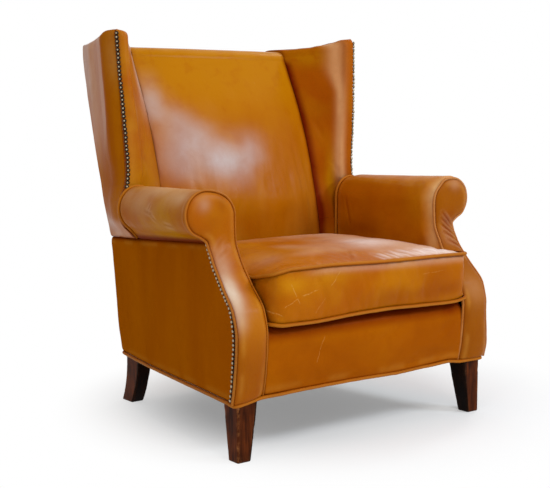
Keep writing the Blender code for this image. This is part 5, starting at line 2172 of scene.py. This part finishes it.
    def build(self) -> None:
        """Makes the cushion and both its welts."""
        points, faces = self.fill(*self.net())
        normals = self.normals(points, faces)
        upper, lower = self.seam(self.high, self.seam_inset), self.seam(self.low, self.seam_inset)
        from_upper, at_upper = nearest(upper, points)
        from_lower, _ = nearest(lower, points)
        above = points[:, 2] > self.high - 0.002
        on_band = (points[:, 2] < self.high + 0.003) & (points[:, 2] > self.low - 0.004)
        step = np.linalg.norm(upper[1] - upper[0])
        along = at_upper * step

        # gathers along both seams, strongest along the right of the front
        front_only = ease((-0.30 - points[:, 1]) / 0.04) * ease((points[:, 0] + 0.05) / 0.12)
        strength = np.where(above, 0.55 + 0.75 * front_only, 0.45)
        strength = strength * mix(0.35, 1.0, ease((points[:, 0] + 0.23) / 0.12))
        lift = Puckers(0.0015, 0.024, 44.0, 0.55).lift(along, from_upper, 341) * strength
        lift += Puckers(0.0012, 0.022, 42.0, 0.4).lift(along, from_lower, 342) * 0.6
        lift += 0.0016 * cloud(points, (9, 9, 14), 343) * ease(from_upper / 0.03)
        lift += 0.0005 * cloud(points, 36, 344) * ease(from_upper / 0.02) * ease(from_lower / 0.02)

        # the hollow that sitting has left
        seat = ease((points[:, 2] - 0.452) / 0.010)
        lift -= 0.0030 * seat * bell(np.hypot(points[:, 0], points[:, 1] + 0.14), 0.17)
        lift -= tuck(from_upper, 0.008, 0.0026) + tuck(from_lower, 0.008, 0.0026)
        lift *= points[:, 2] > 0.3085
        points = points + normals * lift[:, None]
        valley, ridge = folded(points, self.creases())
        points = pressed(points, normals, self.creases())
        points[:, 2] = np.maximum(points[:, 2], self.rests_at)

        # grime and painted shade at the seams and foot; wear on the seat; painted highlights on its
        # right
        groove = 0.7 * seam_mask(np.minimum(from_upper, from_lower), 0.0045)
        groove = groove + ease((0.312 - points[:, 2]) / 0.005)
        rub = 0.3 * seat * ease(0.15 + cloud(points, (9, 9, 9), 345))
        right = ease((points[:, 0] + 0.02) / 0.22) * above
        right = right * (1 - 0.5 * ease((points[:, 1] + 0.20) / 0.10))
        rub = rub + 0.60 * right * ease(from_upper / 0.02)
        # painted highlights on the front gathers, painted shade in their folds
        ridges = ease(0.2 + 1.6 * cloud(np.column_stack([along * 40, from_upper * 12,
                                                         0 * along]), 1.0, 341, 1))
        rub = rub + 0.65 * right * front_only * ridges * bell(from_upper - 0.017, 0.012)
        rub = rub + 0.3 * on_band * bell(from_upper - 0.012, 0.008) * ease((points[:, 0] + 0.24) / 0.10)
        piece = self.maker.piece("seat_cushion_cover", points, [faces],
                                 {"groove": groove, "rub": rub, "haze": 0.5 * ridge * front_only,
                                  "deep": 0.25 * valley},
                                 self.leather("cushion", Side.RIGHT), "leather", ["seat_cushion"])
        for name, level, side in (("upper", self.high, 0.55), ("lower", self.low, -0.35)):
            line = self.seam(level, 0.0043)
            outside = np.column_stack([line[:, 0], line[:, 1] + 0.133, np.full(len(line), side * 0.3)])
            self.maker.cord(f"cushion_{name}_cord", line, outside, self.welt,
                            [f"cushion_welt_{name}"], closed=True, seed=351)

    @staticmethod
    def normals(points: Array, faces: Array) -> Array:
        """Unit normals at the points, from the quads round each.

        Args:
            points: a mesh's points.
            faces: its quads.
        Returns:
            One normal for each point.
        """
        corners = points[faces]
        face_normals = np.cross(corners[:, 2] - corners[:, 0], corners[:, 3] - corners[:, 1])
        total = np.zeros_like(points)
        for k in range(4):
            np.add.at(total, faces[:, k], face_normals)
        total /= np.maximum(np.linalg.norm(total, axis=1, keepdims=True), 1e-12)
        middle = points.mean(axis=0)
        return total * np.sign(((points - middle) * total).sum())

    def creases(self) -> list[Crease]:
        """Folds along the front seam and soft ones across the seat.

        Returns:
            The folds.
        """
        made = []
        for x, lean, length in ((0.060, 0.024, 0.034), (0.104, 0.022, 0.044), (0.146, 0.034, 0.050),
                                (0.188, 0.024, 0.040), (0.232, 0.030, 0.046), (0.270, 0.022, 0.036)):
            made.append(Crease((x, -0.374, 0.437), (x - lean, -0.374 + length, 0.449), 0.0026, 0.0058))
        made += [
            Crease((-0.205, -0.366, 0.440), (-0.110, -0.250, 0.459), 0.0012, 0.006),
            Crease((-0.060, -0.370, 0.440), (-0.015, -0.300, 0.457), 0.0012, 0.005),
            Crease((0.020, -0.230, 0.461), (0.150, -0.200, 0.460), 0.0010, 0.009),
            Crease((-0.100, -0.120, 0.462), (0.060, -0.060, 0.462), 0.0010, 0.010),
        ]
        return made


# ------------------------------------------------------------------------------ legs and nails

@dataclass
class Legs:
    """Four stained wooden legs with knocked edges.

    Attributes:
        form: the chair's surfaces.
        maker: makes the pieces.
        wood: the legs' finish.
        height: the height of all four.
        outer_x: x of the front legs' upright outer face.
        foot_width: the front legs' width at the floor.
        top_width: their width at the seat box.
        rear_x: x of the rear legs' middle.
        rear_halves: half the rear legs' width, at the floor and at the top.
        rear_front: y of their front face at the top, how far it is swept back, and how sharply.
        rear_back: the same for their back face.
    """

    form: ChairForm
    maker: Maker
    wood: bpy.types.Material
    height: float = 0.130
    outer_x: float = 0.395
    foot_width: float = 0.037
    top_width: float = 0.056
    rear_x: float = 0.2765
    rear_halves: tuple[float, float] = (0.0185, 0.0205)
    rear_front: tuple[float, float, float] = (0.236, 0.041, 1.8)
    rear_back: tuple[float, float, float] = (0.298, 0.030, 2.2)

    def build(self) -> None:
        """Makes the legs."""
        for side in Side:
            self.front(side)
            self.rear(side)

    def post(self, name: str, node: str, levels: Array, boxes: Array, side: Side,
             radius: float, seed: int) -> None:
        """A leg lofted through rounded rectangles.

        Args:
            name: the piece's name.
            node: the solid that it replaces.
            levels: the height of each section.
            boxes: for each section its low x, high x, low y and high y.
            side: which side of the chair it is on.
            radius: how rounded its edges are.
            seed: picks its dents.
        """
        low_x, high_x, low_y, high_y = (boxes[:, k, None] for k in range(4))

        def centre(corner: int) -> tuple[Array, Array]:
            """The middle of one rounded corner in every section, anticlockwise from the far right."""
            return ((high_x - radius) if corner in (0, 3) else (low_x + radius),
                    (high_y - radius) if corner in (0, 1) else (low_y + radius))

        turn = np.radians(np.linspace(0, 90, 5))
        parts_x, parts_y, edge = [], [], []
        for corner in range(4):
            angle = turn + math.radians(90 * corner)
            centre_x, centre_y = centre(corner)
            parts_x.append(centre_x + radius * np.cos(angle))
            parts_y.append(centre_y + radius * np.sin(angle))
            edge.append(np.ones(5))
            share = np.linspace(0, 1, 12)[1:-1]
            after = math.radians(90 * corner + 90)
            start_x = centre_x + radius * math.cos(after)
            start_y = centre_y + radius * math.sin(after)
            next_x, next_y = centre((corner + 1) % 4)
            end_x, end_y = next_x + radius * math.cos(after), next_y + radius * math.sin(after)
            parts_x.append(mix(start_x, end_x, share))
            parts_y.append(mix(start_y, end_y, share))
            edge.append(np.minimum(share, 1 - share) * -4 + 0.55)
        x, y = np.concatenate(parts_x, axis=1), np.concatenate(parts_y, axis=1)
        points = np.dstack([x, y, np.broadcast_to(levels[:, None], x.shape)])
        middle = points.mean(axis=1, keepdims=True)
        arris = np.broadcast_to(np.clip(np.concatenate(edge), 0, 1), x.shape)
        knocks = ease(cloud(points, 55, seed) * 1.6 - 0.35) * arris
        points = points + (middle - points) * (0.022 * knocks + 0.004 * cloud(points, 40, seed + 1)
                                               )[..., None] * np.array([1.0, 1.0, 0.0])
        near_floor = bell(points[..., 2], 0.010)
        rub = arris * (0.35 + 0.65 * knocks) + 0.6 * near_floor * ease(cloud(points, 70, seed + 2))
        # painted shade on the face in under the chair: a front leg's inner side, a rear leg's front
        if low_y.min() < 0:
            inner = ease(1.6 - (points[..., 0] - low_x) / 0.004) * 0.92
        else:
            inner = ease(1.6 - (points[..., 1] - low_y) / 0.004) * 0.85
        rings = mirrored(points, side)
        top = rings * np.array([1.0, 1.0, 0.0]) + np.array([0.0, 0.0, self.height])
        risen = self.form.hem(top)[..., 2] - self.height + 0.0062
        rings[..., 2] += np.maximum(risen, 0.0) * ease((rings[..., 2] - 0.100) / 0.030)
        self.maker.skin(name, rings, {"rub": rub, "deep": inner}, self.wood, [node],
                        slot="leg_wood")

    def sections(self) -> tuple[Array, Array]:
        """Each section's height, and how far wear at the foot draws it in."""
        levels = np.concatenate([[0.0, 0.0008, 0.0022], np.linspace(0.004, self.height, 46)])
        return levels, np.array([0.0016, 0.0006, 0.0001] + [0.0] * 46)

    def front(self, side: Side) -> None:
        """A square leg, tapered on its inner faces.

        Args:
            side: which side of the chair it is on.
        """
        levels, inset = self.sections()
        width = mix(self.foot_width, self.top_width, levels / self.height) - 2 * inset
        outer, front = self.outer_x - inset, self.form.front_y + inset
        boxes = np.column_stack([outer - width, outer, front, front + width])
        self.post(f"{side.word}_front_leg", f"leg_front_{side.word}", levels, boxes, side, 0.0028,
                  401 + side.value)

    def rear(self, side: Side) -> None:
        """A sabre leg, swept backwards to the foot.

        Args:
            side: which side of the chair it is on.
        """
        levels, inset = self.sections()
        rise = levels / self.height
        half = mix(*self.rear_halves, rise) - inset
        front, back = (y + sweep * (1 - rise) ** bend
                       for y, sweep, bend in (self.rear_front, self.rear_back))
        boxes = np.column_stack([self.rear_x - half, self.rear_x + half, front + inset, back - inset])
        self.post(f"{side.word}_back_leg", f"leg_back_{side.word}", levels, boxes, side, 0.0026,
                  411 + side.value)


@dataclass
class Nails:
    """Rows of domed nails down the arms' fronts and up the wings' edges."""

    form: ChairForm
    maker: Maker
    brass: bpy.types.Material
    pitch: float = 0.0105
    radius: float = 0.0052
    height: float = 0.0031
    sunk: float = 0.0012
    arm_levels: tuple[float, float] = (0.150, 0.4885)
    wing_levels: tuple[float, float] = (0.604, 0.9640)

    def build(self) -> None:
        """Makes the four rows."""
        f = self.form
        for side in Side:
            right = side is Side.RIGHT
            z = np.linspace(*self.arm_levels, 160)
            y = f.facing(z) + f.nail_inset
            line = np.column_stack([f.side_x(y, z) + 0.0024, y, z])
            # bright crowns start low on each head: wear and a painted highlight
            self.row(f"{side.word}_arm_nails", mirrored(line, side),
                     np.array([side.value, -0.12, 0.0]), f"arm_nails_{side.word}", 421 + side.value,
                     0.90, 0.66)
            z = np.linspace(*self.wing_levels, 160)
            low = 1 - (z - self.wing_levels[0]) / 0.36
            outward = 0.0012 * right
            line = np.column_stack([f.wing_x(z) - 0.0008 - 0.0050 * low + outward,
                                    f.wing_y(z) - 0.003 * low - outward, z])
            line[:, 2] += f.wing_lift(line[:, 0], line[:, 1], z)
            # the right wing's heads are bright further down: painted highlight
            self.row(f"{side.word}_wing_nails", mirrored(line, side),
                     np.array([(0.85 - 330 * outward) * side.value, -1.0, 0.0]),
                     f"wing_nails_{side.word}", 431 + side.value, 1.0, mix(0.80, 0.45, right))

    def row(self, name: str, line: Array, normal: Array, node: str, seed: int, size: float,
            crown: float) -> None:
        """One row, each nail driven in by hand: a little out of line and tilted.

        Args:
            name: the piece's name.
            line: where the row runs.
            normal: the way its heads face.
            node: the solid that it replaces.
            seed: picks how each nail sits.
            size: the heads' width beside the usual one.
            crown: how far up each head the bright part, wear and painted highlight, starts, from 0 to 1.
        """
        length = np.linalg.norm(np.diff(line, axis=0), axis=1).sum()
        heads = evenly(line, round(length / self.pitch) + 1)
        chance = np.random.default_rng(seed)
        columns = 14
        turn = np.linspace(0, 2 * math.pi, columns, endpoint=False)
        dome = [(math.cos(a), self.height * math.sin(a))
                for a in np.radians([0, 22, 42, 58, 70, 80])]
        rings = [(1.0, -self.sunk), *dome]
        points, faces, rub = [], [], []
        for head in heads:
            facing = normal / np.linalg.norm(normal)
            facing = facing + chance.normal(0, 0.07, 3)
            facing /= np.linalg.norm(facing)
            first = np.cross(facing, [0.0, 0.3, 1.0])
            first /= np.linalg.norm(first)
            second = np.cross(facing, first)
            radius = size * self.radius * chance.uniform(0.94, 1.03)
            middle = head + chance.normal(0, 0.00035, 3)
            base = len(points)
            points.append(middle - facing * self.sunk)
            rub.append(0.0)
            for out, deep in rings:
                for angle in turn:
                    around = math.cos(angle) * first + math.sin(angle) * second
                    points.append(middle + around * radius * out + facing * deep)
                    rub.append(max(0.0, min(1.0, (deep / self.height - crown) / 0.22)))
            points.append(middle + facing * self.height)
            rub.append(1.0)
            last, top = len(points) - 1, base + 1 + (len(rings) - 1) * columns
            faces += list(grid_faces(len(rings), columns, True, False) + base + 1)
            for k in range(columns):
                faces.append([base, base + 1 + (k + 1) % columns, base + 1 + k])
                faces.append([last, top + k, top + (k + 1) % columns])
        self.maker.piece(name, np.array(points), [faces], {"rub": np.array(rub)}, self.brass,
                         "nail_brass", [node])


# ------------------------------------------------------------------------------ studio

@dataclass(frozen=True)
class Lamp:
    """A soft rectangular light that looks at the chair."""

    name: str
    towards: tuple[float, float, float]
    distance: float
    width: float
    height: float
    power: float
    aim: tuple[float, float, float] = (0.0, 0.0, 0.5)
    colour: Colour = (1.0, 1.0, 1.0)

    def place(self) -> None:
        """Adds the light."""
        data = bpy.data.lights.new(self.name, "AREA")
        data.shape, data.size, data.size_y = "RECTANGLE", self.width, self.height
        data.energy, data.color = self.power, self.colour
        lamp = bpy.data.objects.new(self.name, data)
        direction = Vector(self.towards).normalized()
        lamp.location = Vector(self.aim) + direction * self.distance
        lamp.rotation_mode = "QUATERNION"
        lamp.rotation_quaternion = direction.to_track_quat("Z", "Y")
        lamp.visible_camera = False
        bpy.context.scene.collection.objects.link(lamp)


@dataclass
class Studio:
    """A white sweep, soft lights and the camera."""

    ambient: float = 0.46
    floor_glow: float = 1.0
    shadow_share: float = 0.76
    shadow_middle: tuple[float, float, float] = (0.18, -0.06, 0.0)
    shadow_reach: tuple[float, float] = (0.80, 0.36)
    floor_reach: float = 14.0
    lens: float = 77.24
    camera_place: tuple[float, float, float] = (-1.9159, -2.4957, 0.8045)
    camera_back: tuple[float, float, float] = (-0.6056, -0.7874, 0.1148)
    lamps: tuple[Lamp, ...] = (
        Lamp("window_light", (0.52, -0.71, 0.47), 3.2, 0.85, 0.55, 36.0, colour=(0.82, 0.91, 1.0)),
        Lamp("front_softbox", (-0.16, -0.73, 0.66), 3.0, 0.9, 0.9, 27.0),
        Lamp("high_softbox", (0.68, 0.18, 0.71), 3.2, 0.5, 0.7, 12.0),
        Lamp("top_softbox", (-0.10, -0.10, 1.0), 3.2, 2.4, 2.4, 12.0),
        Lamp("left_strip", (-0.85, -0.49, 0.20), 3.4, 0.3, 1.8, 7.0),
    )

    def build(self) -> None:
        """Sets up floor, background, lights and camera."""
        self.floor()
        self.surroundings()
        for lamp in self.lamps:
            lamp.place()
        self.camera()
        bpy.context.scene.view_settings.view_transform = "Standard"

    def floor(self) -> None:
        """A large matt white floor that keeps the chair's shadow."""
        mesh = bpy.data.meshes.new("studio_floor")
        corners = [(x * self.floor_reach, y * self.floor_reach, 0)
                   for x, y in ((-1, -1), (1, -1), (1, 1), (-1, 1))]
        mesh.from_pydata(corners, [], [(0, 1, 2, 3)])
        r = Recipe("studio_white")
        paper = r.noise(3.0, 1.0) * 0.004 + 0.90
        colour = r.output("ShaderNodeCombineColor", 0, in0=paper, in1=paper, in2=paper)
        r.finish(Base_Color=colour, Roughness=0.85, Specular_IOR_Level=0.1)
        glow = r.node("ShaderNodeEmission", Color=(1.0, 1.0, 1.0), Strength=self.floor_glow)
        seen = r.seen()
        near = r.vector("DISTANCE", "Value", r.place, self.shadow_middle).between(*self.shadow_reach)
        shown = r.node("ShaderNodeMixShader", Fac=seen * (1 - near * self.shadow_share))
        r.links.new(r.shader.outputs[0], shown.inputs[1])
        r.links.new(glow.outputs[0], shown.inputs[2])
        r.links.new(shown.outputs[0], r.nodes["Material Output"].inputs["Surface"])
        mesh.materials.append(r.material)
        floor = bpy.data.objects.new("studio_floor", mesh)
        bpy.context.scene.collection.objects.link(floor)

    def surroundings(self) -> None:
        """White all round: full strength where it is seen, softer where it lights."""
        world = bpy.data.worlds.new("white_room")
        world.use_nodes = True
        tree = Tree(world.node_tree)
        tree.nodes.clear()
        strength = tree.output("ShaderNodeMapRange", "Result", Value=tree.seen(),
                               **{"To Min": self.ambient, "To Max": 1.0})
        light = tree.output("ShaderNodeBackground", 0, Color=(1.0, 1.0, 1.0), Strength=strength)
        tree.node("ShaderNodeOutputWorld", Surface=light)
        bpy.context.scene.world = world

    def camera(self) -> None:
        """A long lens, a little above the arms, well round to the chair's left front."""
        data = bpy.data.cameras.new("camera")
        data.lens, data.sensor_width = self.lens, 36.0
        camera = bpy.data.objects.new("camera", data)
        camera.location = self.camera_place
        camera.rotation_mode = "QUATERNION"
        camera.rotation_quaternion = Vector(self.camera_back).to_track_quat("Z", "Y")
        bpy.context.scene.collection.objects.link(camera)
        bpy.context.scene.camera = camera


# ------------------------------------------------------------------------------ putting it together

ANY = 9.0  # a size so large that the place along that axis makes no difference
# blots by mask: painted highlights and reflections, painted shade, and amber tone
PATCHES: dict[str, tuple[Patch, ...]] = {
    "inside_back_cover": (
        Patch("haze", (-0.060, 0.0, 0.660), (0.080, ANY, 0.045), 0.80),
        Patch("haze", (-0.140, 0.0, 0.728), (0.055, ANY, 0.045), 0.50),
        Patch("haze", (-0.192, 0.0, 0.775), (0.045, ANY, 0.040), 0.30),
        Patch("haze", (-0.240, 0.0, 0.825), (0.030, ANY, 0.045), 0.45),
        Patch("haze", (-0.205, 0.0, 0.680), (0.060, ANY, 0.060), 0.38),
        Patch("haze", (0.035, 0.0, 0.690), (0.040, ANY, 0.040), 0.25),
        Patch("deep", (0.205, 0.0, 0.490), (0.060, ANY, 0.070), 0.45),
        Patch("amber", (-0.015, 0.0, 0.540), (0.060, ANY, 0.035), 0.40),
    ),
    "right_inside_wing": (
        Patch("amber", (0.298, 0.0, 0.950), (0.045, ANY, 0.028), 0.80),
        Patch("amber", (0.314, 0.0, 0.600), (0.016, ANY, 0.050), 1.00),
        Patch("haze", (0.338, 0.0, 0.630), (0.012, ANY, 0.050), 0.35),
        Patch("deep", (0.300, 0.0, 0.800), (0.035, ANY, 0.070), 0.12),
        Patch("deep", (0.280, 0.0, 0.505), (0.036, ANY, 0.045), 0.50),
        Patch("amber", (0.318, 0.0, 0.650), (0.014, ANY, 0.055), 0.60),
    ),
    "right_arm_cover": (
        Patch("deep", (0.0, 0.020, 0.465), (ANY, 0.100, 0.035), 0.60),
        Patch("amber", (0.0, -0.200, 0.550), (ANY, 0.055, 0.070), 0.65),
        Patch("haze", (0.0, -0.250, 0.580), (ANY, 0.023, 0.048), 0.85),
        Patch("haze", (0.0, -0.256, 0.500), (ANY, 0.018, 0.070), 0.45),
        Patch("amber", (0.0, -0.050, 0.605), (ANY, 0.200, 0.014), 0.50),
    ),
    "left_arm_cover": (
        Patch("haze", (0.0, -0.060, 0.607), (ANY, 0.110, 0.013), 0.75),
        Patch("haze", (0.0, -0.185, 0.600), (ANY, 0.040, 0.020), 0.45),
        Patch("haze", (0.0, 0.000, 0.575), (ANY, 0.100, 0.022), 0.15),
        Patch("deep", (0.0, -0.150, 0.525), (ANY, 0.070, 0.020), 0.10),
        Patch("haze", (0.0, 0.010, 0.562), (ANY, 0.080, 0.028), 0.28),
        Patch("amber", (0.0, -0.185, 0.572), (ANY, 0.045, 0.018), 0.60),
        Patch("haze", (0.0, -0.215, 0.602), (ANY, 0.030, 0.016), 0.30),
    ),
    "left_outside_wing": (
        Patch("amber", (-0.400, 0.172, 0.920), (0.050, 0.032, 0.080), 0.90),
        Patch("haze", (-0.400, 0.172, 0.930), (0.050, 0.028, 0.060), 0.06),
        Patch("haze", (-0.360, 0.400, 0.920), (ANY, 0.035, 0.110), 0.50),
        Patch("haze", (-0.340, 0.300, 0.505), (ANY, 0.050, 0.025), 0.35),
    ),
    "left_inside_wing": (
        Patch("haze", (-0.272, 0.0, 0.885), (0.020, ANY, 0.085), 0.50),
        Patch("amber", (-0.350, 0.0, 0.620), (0.050, ANY, 0.060), 0.70),
    ),
    "left_arm_facing": (
        Patch("haze", (-0.388, 0.0, 0.390), (0.021, ANY, 0.036), 0.90),
        Patch("haze", (-0.412, 0.0, 0.585), (0.018, ANY, 0.018), 0.20),
        Patch("amber", (-0.390, 0.0, 0.560), (0.028, ANY, 0.020), 0.35),
        Patch("haze", (-0.376, 0.0, 0.452), (0.020, ANY, 0.026), 0.16),
        Patch("haze", (-0.396, 0.0, 0.335), (0.018, ANY, 0.030), 0.35),
        Patch("deep", (-0.362, 0.0, 0.592), (0.016, ANY, 0.030), 0.35),
        Patch("deep", (0.0, 0.0, 0.200), (ANY, ANY, 0.085), 0.45),
        Patch("deep", (-0.392, 0.0, 0.545), (0.025, ANY, 0.022), 0.20),
    ),
    "right_arm_facing": (
        Patch("haze", (0.403, 0.0, 0.600), (0.020, ANY, 0.015), 0.35),
        Patch("haze", (0.362, 0.0, 0.335), (0.030, ANY, 0.030), 0.20),
        Patch("haze", (0.355, 0.0, 0.455), (0.020, ANY, 0.020), 0.10),
        Patch("deep", (0.385, 0.0, 0.515), (0.030, ANY, 0.020), 0.35),
    ),
    "seat_cushion_cover": (
        Patch("amber", (-0.262, -0.380, 0.402), (0.035, 0.050, 0.018), 0.60),
        Patch("amber", (-0.144, -0.380, 0.412), (0.080, 0.050, 0.018), 0.45),
        Patch("deep", (0.220, -0.390, 0.345), (0.110, 0.030, 0.030), 0.55),
        Patch("deep", (0.215, -0.395, 0.395), (0.120, 0.030, 0.024), 0.30),
        Patch("deep", (0.046, -0.390, 0.345), (0.080, 0.030, 0.025), 0.35),
        Patch("deep", (-0.311, -0.350, 0.370), (0.010, 0.050, 0.045), 0.45),
        Patch("haze", (0.240, -0.345, 0.440), (0.070, 0.030, 0.020), 0.45),
        Patch("haze", (-0.235, -0.260, 0.450), (0.040, 0.040, 0.020), 0.10),
        Patch("haze", (0.105, -0.235, 0.458), (0.060, 0.045, 0.025), 0.55),
    ),
    "front_border_cover": (
        Patch("deep", (0.275, 0.0, 0.250), (0.030, ANY, 0.050), 0.30),
        Patch("amber", (-0.133, 0.0, 0.270), (0.050, ANY, 0.020), 0.40),
        Patch("amber", (0.025, 0.0, 0.263), (0.070, ANY, 0.018), 0.35),
    ),
}


def carried_over(timber: bpy.types.Material, cambric: bpy.types.Material,
                 wire: bpy.types.Material) -> None:
    """Gives the parts inside the chair, kept as they are, their own finishes.

    Args:
        timber: the frame's finish.
        cambric: the deck's finish.
        wire: the springs' finish.
    """
    for name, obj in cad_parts.items():
        if obj.hide_render:
            continue
        finish = timber
        if name == "seat_deck":
            finish = cambric
        elif "spring" in name:
            finish = wire
        for place in obj.material_slots:
            place.material = finish


def main() -> None:
    """Builds the dressed chair and its studio."""
    logging.basicConfig(level=logging.INFO, format="%(message)s")
    form = ChairForm()
    maker = Maker(form, PATCHES)
    made = {name: finish.make() for name, finish in LEATHERS.items()}
    welt = made.pop("welt")
    wood = StainedWood("leg_mahogany").make()
    brass = AntiqueBrass("antique_brass").make()

    def leather(kind: str, side: Side) -> bpy.types.Material:
        """The finish of one kind of cover."""
        return made.get(f"{kind}_{side.word}") or made[kind]

    for sub_assembly in (Arms, Wings, Back, SeatBox):
        sub_assembly(form, maker, leather, welt).build()
    timber, cambric, wire = (stock.make() for stock in STOCKS)
    Underside(maker, timber, cambric).build()
    Cushion(form, maker, leather, welt).build()
    Legs(form, maker, wood).build()
    Nails(form, maker, brass).build()
    carried_over(timber, cambric, wire)
    Studio().build()
    LOG.info("%d pieces made", len(maker.made))


if __name__ == "__main__":
    main()
